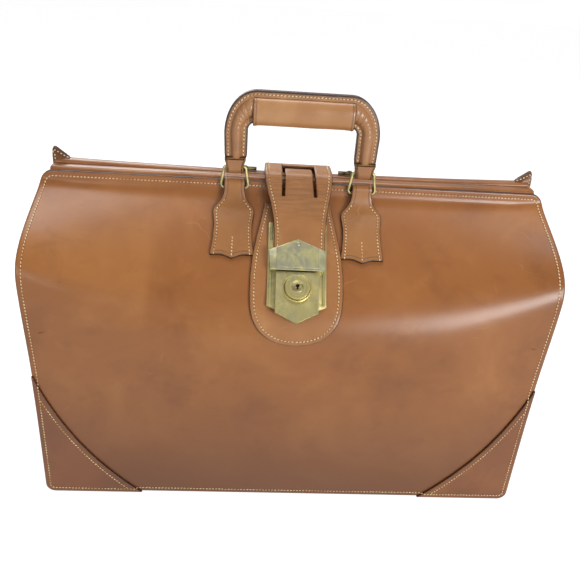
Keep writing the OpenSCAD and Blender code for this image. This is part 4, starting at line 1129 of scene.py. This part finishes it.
def sleeve_outline(half_wide, deep):
    power = 2 / 2.3
    c, s = np.cos(turn_round), np.sin(turn_round)
    return (SLEEVE_Z + half_wide * np.sign(c) * np.abs(c) ** power,
            deep * np.sign(s) * np.abs(s) ** power)


sleeve_ends = np.array([39.5, 40.1, 40.4, SLEEVE_HALF])
sleeve_at = np.concatenate([-sleeve_ends[::-1], np.linspace(-38.5, 38.5, 45), sleeve_ends])
sleeve_rings, sleeve_rims = [], []
for x in sleeve_at:
    cut = max(0.0, abs(x) - SLEEVE_HALF + 1) ** 2 * 0.7
    swell = 0.14 * math.sin(x / 9 + 1) + 0.1 * math.sin(x / 4.3)
    dip = 0.9 * max(0.0, (abs(x) - 33) / 7.5) ** 2
    z_out, y_out = sleeve_outline(11.4 - cut + swell * 0.5, 9.1 - cut + swell)
    z_in, y_in = sleeve_outline(9.4, 7.3)
    y, z = np.concatenate([y_out, y_in[::-1]]), np.concatenate([z_out, z_in[::-1]])
    low = ramp(z, 338, 328)
    sleeve_rings.append(np.stack([x - np.sign(x) * 0.15 * dip * low, RING_Y - y,
                                  z - dip * low], 1))
    sleeve_rims.append(np.full(len(z), SLEEVE_HALF - abs(x)))
finish(loft("sleeve_wrap", sleeve_rings, {"rim": np.concatenate(sleeve_rims)}), sleeve_skin,
       "handle", ("grip_sleeve",))


# Lock patch
# A U of 2 mm leather sewn to the front hide, that the lock is riveted through. Heights on it
# are measured up the slope from the middle of the lock.
U_FOOT, U_TOP, U_HALF, U_GROOVE = -63, 58, 38, 3.6
down_z = np.linspace(165, 266, 500)
down_s = lengths(front_skin(0.0, down_z))
down_s -= np.interp(LOCK_Z, down_z, down_s)


def patch_half(z):
    s = np.interp(z, down_z, down_s)
    low = ramp(s, -15, U_FOOT)
    upper = np.interp(s, [-15, -6, 10, 26, 40, 55], [U_HALF, U_HALF, 36.6, 34, 31.2, 28.4])
    return np.where(s > -15, upper, U_HALF * (1 - low ** 3.1) ** (1 / 2.2))


round_foot = np.array([0.02, 0.12, 0.35, 0.8, 1.5, 2.4, 3.5, 5, 6.6, 8.4])
under_lock_s = np.concatenate([U_FOOT + round_foot, np.arange(-52, 49, 3.0),
                               U_TOP - near_edge(U_GROOVE)[::-1]])
plug_hole = (19, 23, 16, 20)  # rows and columns of the sheet
lock_leather = bridle_leather("lock patch leather", tone=(167, 112, 66), shade=(123, 77, 43),
                              light=(198, 146, 93), groove=U_GROOVE)
finish(cut_sheet("lock_leather", np.interp(under_lock_s, down_s, down_z),
                 lambda z: -patch_half(z), patch_half, front_skin, 0.25, 2.3,
                 groove=U_GROOVE, columns=20, holes=(plug_hole,), roll=0.9),
       lock_leather, "front_side", ("lock_patch",))
around_lock = np.interp(np.concatenate([U_FOOT + 0.02 + np.linspace(0, 1, 30) ** 2 * 12,
                                        np.linspace(-50, U_TOP, 60)]), down_s, down_z)
u_half = np.stack([patch_half(around_lock), around_lock], 1)
u_left, u_right = (dense(inset((u_half * [turn, 1])[::turn], U_GROOVE, front_skin), 1.4)
                   for turn in (-1, 1))
u_left = u_left[(u_left[:, 0] < 0) & (u_left[:, 1] < np.interp(54.5, down_s, down_z))]
u_right = u_right[u_right[:, 0] > 0]
u_top = u_left[np.argmax(u_left[:, 1])]
u_across = dense([u_top + [3.0, 0.2], [-17.0, u_top[1] + 0.2]], 1.4)
u_seams = [seam_on(front_skin, path, 2.4) for path in (u_left, u_right, u_across)]
finish(sew("lock_patch_stitches", u_seams), waxed_thread, "front_side")


# Lock
# Pressed brass: a base plate with a rib down each side, a case pointed at the foot, and in it a
# turned push button with the key plug at its middle. It is riveted to a steel plate inside.
LOCK_Y, LOCK_TILT = -64.537, math.radians(46.055)
PLATE_TOP, BUTTON_TOP, BUTTON_S = 3.9, 12.15, -18.5


def on_lock(x, s, n):
    """A point on the lock's own axes: across, up the slope and out of it."""
    x, s, n = np.broadcast_arrays(*(np.asarray(v, float) for v in (x, s, n)))
    c, d = math.cos(LOCK_TILT), math.sin(LOCK_TILT)
    return np.stack([x, LOCK_Y + s * c - n * d, LOCK_Z + s * d + n * c], -1)


def shrunk(outline, inset_by):
    """An outline that runs anticlockwise, moved inwards."""
    outline = np.asarray(outline, float)
    run = np.roll(outline, -1, 0) - outline
    run /= np.linalg.norm(run, axis=1, keepdims=True)
    ahead = np.stack([-run[:, 1], run[:, 0]], 1)
    behind = np.roll(ahead, 1, 0)
    return outline + inset_by * (ahead + behind) / (1 + (ahead * behind).sum(1))[:, None]


def pressed(name, outline, levels, material, body):
    """A plate with its edges rounded: levels are heights and how far each is moved in."""
    rings = []
    for high, inset_by in levels:
        at = shrunk(outline, inset_by)
        rings.append(on_lock(at[:, 0], at[:, 1], high))
    piece = loft(name, rings)
    piece.data.set_sharp_from_angle(angle=math.radians(24))
    return finish(piece, material, body)


def bevelled(name, source, width, material, body, stands_for):
    """A copy of a solid with its edges rounded."""
    mesh = cad[source].data.copy()
    mesh.transform(cad[source].matrix_world)
    work = bmesh.new()
    work.from_mesh(mesh)
    bmesh.ops.remove_doubles(work, verts=work.verts, dist=2e-6)
    bmesh.ops.dissolve_limit(work, angle_limit=math.radians(1), verts=work.verts,
                             edges=work.edges)
    bmesh.ops.recalc_face_normals(work, faces=work.faces)
    work.to_mesh(mesh)
    work.free()
    piece = placed(name, mesh)
    edges = piece.modifiers.new("edges", "BEVEL")
    edges.width = width
    edges.segments = 2
    edges.limit_method = "ANGLE"
    edges.angle_limit = math.radians(38)
    plain_mesh(piece)
    piece.data.shade_smooth()
    piece.data.set_sharp_from_angle(angle=math.radians(32))
    return finish(piece, material, body, stands_for)


bevelled("base_plate", "lock_base_plate", 0.00035, aged_brass, "front_side",
         ("lock_base_plate",))
for hand, turn in HANDS:
    for end, low, high in (("low", -32.2, -4.6), ("high", 23.4, 38.1)):
        rib = np.array([[20.4, low], [22.7, low], [22.7, high], [20.4, high]])
        if turn < 0:
            rib = rib[::-1] * [-1, 1]
        pressed("plate_rib_" + end + "_" + hand, rib,
                ((PLATE_TOP - 0.1, 0), (PLATE_TOP + 0.25, 0), (PLATE_TOP + 0.5, 0.3)),
                aged_brass, "front_side")
bevelled("lock_case_shell", "lock_case", 0.0006, aged_brass, "front_side", ("lock_case",))


def turned(name, profile, s, material, body, stands_for=(), around=64):
    """A ring turned from a closed profile of radius and height, at s up the slope."""
    angle = np.linspace(0, 2 * np.pi, around + 1)[:-1]
    radius, high = np.asarray(profile, float).T
    rings = [on_lock(radius * math.cos(a), s + radius * math.sin(a), high) for a in angle]
    piece = loft(name, rings, loop=True)
    piece.data.set_sharp_from_angle(angle=math.radians(26))
    return finish(piece, material, body, stands_for)


turned("push_button", [(10.3, 6.5), (10.3, 11.1), (10.15, 11.6), (9.8, 12.0),
                       (9.2, BUTTON_TOP), (7.7, BUTTON_TOP), (7.55, 12.0), (7.3, 12.0),
                       (7.15, BUTTON_TOP), (5.3, BUTTON_TOP), (5.1, 12.0), (4.85, 12.0),
                       (4.6, 11.85), (4.6, 7.2)], BUTTON_S,
       aged_brass, "button", ("lock_button",))
turned("button_surround", [(10.45, 8.4), (10.45, 8.75), (10.9, 8.95), (11.7, 8.7), (11.8, 8.4)],
       BUTTON_S, aged_brass, "front_side")

# Return spring under the button
lock_out = np.array([0, -math.sin(LOCK_TILT), math.cos(LOCK_TILT)])
spring = bevelled("press_spring", "button_spring", 0.00004, frame_steel, "front_side",
                  ("button_spring",))
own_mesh(spring)

# Key plug: painted shade inside the keyhole, where it turns dark and not metallic below the face
plug_brass, tree, shader = new_material("key plug brass")
spot = object_place(tree)
face = on_lock(0, 0, BUTTON_TOP - 0.3) * MM
height = node(tree, "ShaderNodeVectorMath", {0: spot, 1: tuple(lock_out.tolist())},
              operation="DOT_PRODUCT").outputs["Value"]
depth = calc(tree, "SUBTRACT", float(face @ lock_out), height)
plug_tint = blended(tree, ease(tree, noise(tree, spot, 400, 4, 0.6), 0.4, 0.65),
                colour(200, 186, 128), colour(150, 140, 100))
# Painted shade: below the plug's face the colour runs to near black and is no longer metallic
dress(tree, shader, {
    "Base Color": blended(tree, ease(tree, depth, 0.0003, 0.0009), plug_tint, colour(22, 17, 12)),
    "Metallic": ease(tree, depth, 0.0003, 0.0009, 1.0, 0.0), "Roughness": 0.36})
bevelled("plug", "key_plug", 0.0002, plug_brass, "key", ("key_plug",))


# Closing strap
# Two layers of leather sewn together along both sides. It is fixed to the back hide, bends over
# the jaws between the handle's legs and ends in the hasp. A slit round three sides frees a
# tongue at the bend.
STRAP_T, STRAP_N, STRAP_IN_Z, BEND_R = 4.2, 5.25, 284.1, 12.0
STRAP_WIDE, STRAP_GROOVE, SLIT_HALF = 28.5, 3.2, 12.5
bend_centre_z = STRAP_IN_Z - BEND_R
bend_from = bend_centre_z - LOCK_Z - (STRAP_N - BEND_R) * math.cos(LOCK_TILT)
bend_from = bend_from / math.sin(LOCK_TILT)
bend_centre_y = on_lock(0, bend_from, STRAP_N - BEND_R)[1]
slope_part = on_lock(0, np.linspace(3.5, bend_from, 40), STRAP_N)[:, 1:]
back_z = np.linspace(264, 224, 30)
back_face = np.stack([hide_depth(0.0, back_z), back_z], 1)
over_jaws = arc(bend_centre_y, bend_centre_z, BEND_R, 90 + math.degrees(LOCK_TILT), 90, 16)
strap_path = np.concatenate([
    slope_part, over_jaws[1:],
    [[-2.0, STRAP_IN_Z], [3.0, STRAP_IN_Z - 0.1], [7.0, STRAP_IN_Z - 0.3]],
    bezier([[9.5, STRAP_IN_Z - 0.5], [13.8, 283.2], [15.5, 282.2], [15.6, 277]], 10),
    [[15.9, 273], [17.0, 268.8]], back_face])
on_back = np.concatenate([np.zeros(len(strap_path) - len(back_z)),
                          np.clip(np.arange(len(back_z)) / 4, 0, 1)])
strap_size, strap_laid = along(strap_path, back_skin, on_back)
strap_end = strap_size[-1]
top_s = strap_size[len(slope_part) + 14]


def strap_half(s):
    s = np.asarray(s, float)
    z = np.interp(s, strap_size, strap_path[:, 1])
    front = np.interp(z, [245, 248, 254, 260, 266, 272, 278, 283],
                      [21, 21.1, 21.9, 23.0, 24.6, 26.5, 28.0, STRAP_WIDE])
    end = ramp(s, strap_end - 16, strap_end + 0.05)
    return np.where(s < top_s, front, STRAP_WIDE) * (1 - end ** 2.4) ** (1 / 2.2)


slit_low = np.interp(269.6, slope_part[:, 1], strap_size[:len(slope_part)])
slit_bar, slit_far = (top_s + v for v in (2.6 - bend_centre_y, 6.8 - bend_centre_y))
plain_rows = spread(0, strap_end - 9, 1.9, near_edge(STRAP_GROOVE))[:-7]
marks = np.array([slit_low, slit_bar, slit_far])
plain_rows = plain_rows[np.abs(plain_rows[:, None] - marks).min(1) > 1.6]
round_end = np.array([9, 7.2, 5.6, 4.2, 3.0, 2.0, 1.3, 0.7, 0.3, 0.05])
strap_rows = np.sort(np.concatenate([plain_rows, marks, marks - 0.9, marks + 0.9, marks - 1.3,
                                     marks + 1.3, strap_end - round_end]))
slit_rows = [int(np.argmin(np.abs(strap_rows - mark))) for mark in marks]
strap_middle = np.array([-15.2, -14.8, -13.8, -11.5, -11.0, -10.6, -5, 0, 5, 10.6, 11.0, 11.5,
                         13.8, 14.8, 15.2])


def strap_place(x, s, off=0.0):
    """The slit's legs spread a little towards the front, the tongue lies lower, and the strap
    leans to the right at the hasp."""
    x, s, off = np.broadcast_arrays(*(np.asarray(v, float) for v in (x, s, off)))
    spread_out = peak(np.abs(x), SLIT_HALF, 5) * peak(s, slit_low, 16)
    tongue = (ramp(np.abs(x), SLIT_HALF - 0.2, SLIT_HALF - 0.7) * peak(s, slit_bar, 14) ** 1.4
              * (s < slit_far - 0.1))
    waves = 0.12 * np.sin(s / 2.1 + 0.6 * np.sin(x / 5)) * peak(s, slit_low, 20)
    lean = 1.3 * ramp(s, 74, 40)
    return strap_laid(x + np.sign(x) * spread_out + lean, s, off - 2.1 * tongue + waves)


strap_leather = bridle_leather("strap leather", tone=(175, 120, 71), shade=(127, 82, 46),
                               light=(201, 152, 100), groove=STRAP_GROOVE, clouds=0.8,
                               rubbing=1.5, bump=0.55)
# It has creases where it bends, and painted shade darkens the bend, most in their hollows
tree = strap_leather.node_tree
lump_in = tree.nodes["Bump"].inputs["Height"]
tint_in = tree.nodes["Principled BSDF"].inputs["Base Color"]
spot = object_place(tree)
up = node(tree, "ShaderNodeSeparateXYZ", {0: spot}).outputs["Z"]
near_bend = times(tree, ease(tree, up, 0.252, 0.27), ease(tree, up, 0.2895, 0.285))
wrinkles = noise(tree, stretched(tree, spot, (45, 500, 500)), 1.0, 3, 0.55)
tree.links.new(calc(tree, "MULTIPLY_ADD", wrinkles, times(tree, near_bend, 7.0),
                    lump_in.links[0].from_socket), lump_in)
# Painted shade: darker in the hollows of the wrinkles near the bend
crease_shade = times(tree, near_bend, ease(tree, wrinkles, 0.62, 0.4, 0.08, 0.34))
tree.links.new(blended(tree, crease_shade, tint_in.links[0].from_socket, colour(112, 68, 40)),
               tint_in)
# The slit's two legs and the bar between them, in rows and columns of the sheet
row_low, row_bar, row_far = slit_rows
slit = ((row_low, row_bar, 10, 11), (row_low, row_bar, 19, 20), (row_bar, row_far, 10, 20))
strap = cut_sheet("strap_leather", strap_rows, lambda s: -strap_half(s), strap_half, strap_place,
                  0, STRAP_T, groove=STRAP_GROOVE, middle=strap_middle, holes=slit, roll=1.1)
finish(strap, strap_leather, stands_for=("closing_strap", "strap_anchor"))
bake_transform(strap)
strap_line = np.concatenate([np.linspace(13, strap_end - 14, 120),
                             strap_end - 14 * (1 - np.linspace(0, 1, 30)[1:]) ** 1.6])
strap_line[-1] = strap_end - 0.05
strap_edge = np.concatenate([np.stack([strap_half(strap_line), strap_line], 1),
                             np.stack([-strap_half(strap_line), strap_line], 1)[::-1]])
strap_seam = dense(inset(strap_edge, STRAP_GROOVE, strap_place), 1.3)
strap_seam = strap_seam[strap_seam[:, 1] < strap_end - 3]
strap_cross = dense([[-24.5, strap_end - 34], [24.5, strap_end - 34]], 1.3)
split = int(np.argmax(strap_seam[:, 0] < 0))
strap_sewn = sew("strap_stitches", [seam_on(strap_place, path, STRAP_T + 0.1) for path in (
    strap_seam[:split], strap_seam[split:], strap_cross)])
finish(strap_sewn, waxed_thread)
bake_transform(strap_sewn)


# Hasp
# A brass cap folded round the strap's end and riveted through it, with the staple on its back.
# Its face has a raised panel, and a lip along its foot.
hasp_brass, tree, shader = new_material("hasp brass")
spot = object_place(tree)
stain = noise(tree, spot, 60, 5, 0.6, 1.2)
rubbed = noise(tree, stretched(tree, spot, (700, 50, 50)), 1.0, 4, 0.65)
tint = blended(tree, ease(tree, stain, 0.4, 0.58), colour(194, 187, 136), colour(162, 160, 138))
tint = blended(tree, ease(tree, noise(tree, spot, 45, 3, 0.5), 0.56, 0.72, 0, 0.7), tint,
               colour(212, 202, 146))
tint = blended(tree, ease(tree, noise(tree, spot, 600, 4, 0.7), 0.62, 0.78, 0, 0.6), tint,
               colour(96, 89, 66))
dress(tree, shader, {"Base Color": tint, "Metallic": 1.0,
                     "Roughness": calc(tree, "MULTIPLY_ADD", rubbed, 0.25, 0.34)},
      (rubbed, 0.25, 0.0002))
bevelled("hasp_cap", "hasp", 0.0005, hasp_brass, "strap", ("hasp",))
pressed("hasp_panel", [[-17.2, -2.2], [17.2, -2.2], [17.2, 14.4], [0, 21.6], [-17.2, 14.4]],
        ((9.8, 0), (10.15, 0), (10.4, 0.35)), hasp_brass, "strap")
pressed("hasp_lip", [[-22.2, -4.3], [22.2, -4.3], [22.2, -2.9], [-22.2, -2.9]],
        ((9.4, 0), (10.3, 0), (10.6, 0.35)), hasp_brass, "strap")
rivet_dome = [(2.0 * math.sin(a), 10.3 + 0.75 * math.cos(a)) for a in np.linspace(0.02, 1.57, 9)]
turned("hasp_rivet_dome", rivet_dome + [(2.0, 9.2), (0.04, 9.2)], 18.2, hasp_brass, "strap",
       ("hasp_rivet",), 32)


# Turn clips
# Small cast brass levers on posts that are riveted to the back jaw. Each turns over the front
# jaw to hold the case shut.
# Brass darkened with age, and painted darker still as shade for where the clips sit behind the
# handle
darkened_and_shaded_brass, tree, shader = new_material("darkened and shaded brass")
spot = object_place(tree)
mottle = noise(tree, spot, 260, 5, 0.65)
tint = blended(tree, ease(tree, mottle, 0.4, 0.62), colour(136, 121, 80), colour(62, 54, 40))
dress(tree, shader, {"Base Color": tint, "Metallic": 1.0,
                     "Roughness": calc(tree, "MULTIPLY_ADD", mottle, 0.3, 0.25)})
for hand, _ in HANDS:
    bevelled("clip_post_" + hand, "clip_base_" + hand, 0.00025, darkened_and_shaded_brass, "back_side",
             ("clip_base_" + hand,))
    bevelled("clip_arm_" + hand, "clip_lever_" + hand, 0.0005, darkened_and_shaded_brass, "clip_" + hand,
             ("clip_lever_" + hand,))


# Floor, light and background
# A plain pale floor that keeps the shadow. Soft studio light comes from above, from both
# sides and from behind.
floor_mesh = bpy.data.meshes.new("floor")
floor_mesh.from_pydata([(-6, -6, 0), (6, -6, 0), (6, 6, 0), (-6, 6, 0)], [], [(0, 1, 2, 3)])
floor = placed("floor", floor_mesh)
pale_floor, tree, shader = new_material("pale floor")
rays = node(tree, "ShaderNodeLightPath").outputs
seen = calc(tree, "MAXIMUM", rays["Is Camera Ray"], calc(tree, "MAXIMUM",
            rays["Is Glossy Ray"], rays["Is Transmission Ray"]))
dress(tree, shader, {"Base Color": (0.35, 0.35, 0.35, 1), "Roughness": 0.9,
                     "Specular IOR Level": 0.1, "Emission Color": (1, 1, 1, 1),
                     "Emission Strength": times(tree, seen, 0.9)})
floor_mesh.materials.append(pale_floor)

world = bpy.data.worlds.new("studio")
world.use_nodes = True
bpy.context.scene.world = world
tree = world.node_tree
rays = node(tree, "ShaderNodeLightPath").outputs
seen = calc(tree, "MAXIMUM", rays["Is Camera Ray"], rays["Is Transmission Ray"])
room = calc(tree, "MULTIPLY_ADD", rays["Is Glossy Ray"], 0.25, 0.22)
strength = node(tree, "ShaderNodeMix", {0: seen, 2: room, 3: 1.0}, data_type="FLOAT").outputs[0]
tree.links.new(strength, tree.nodes["Background"].inputs["Strength"])
tree.nodes["Background"].inputs["Color"].default_value = (1, 1, 1, 1)


CASE_MIDDLE = Vector((0, 0, 0.17))


def soft_light(name, turn, rise, distance, size, power):
    """A softbox aimed at the case. turn is measured to the right of straight in front."""
    turn, rise = math.radians(turn), math.radians(rise)
    lamp = bpy.data.lights.new(name, "AREA")
    lamp.shape = "RECTANGLE"
    lamp.size, lamp.size_y = size
    lamp.energy = power
    softbox = placed(name, lamp)
    out = Vector((math.sin(turn) * math.cos(rise), -math.cos(turn) * math.cos(rise),
                  math.sin(rise)))
    softbox.location = CASE_MIDDLE + out * distance
    softbox.rotation_euler = out.to_track_quat("Z", "Y").to_euler()


soft_light("overhead", 0, 101, 1.7, (1.3, 0.8), 17)
soft_light("right window", 30, 12, 1.5, (0.6, 0.5), 13.5)
soft_light("left window", -30, 14, 1.6, (0.5, 0.4), 3.6)
soft_light("behind", -150, 33, 1.6, (1.2, 0.6), 9)

bpy.context.scene.view_settings.view_transform = "Standard"
bpy.context.view_layer.update()
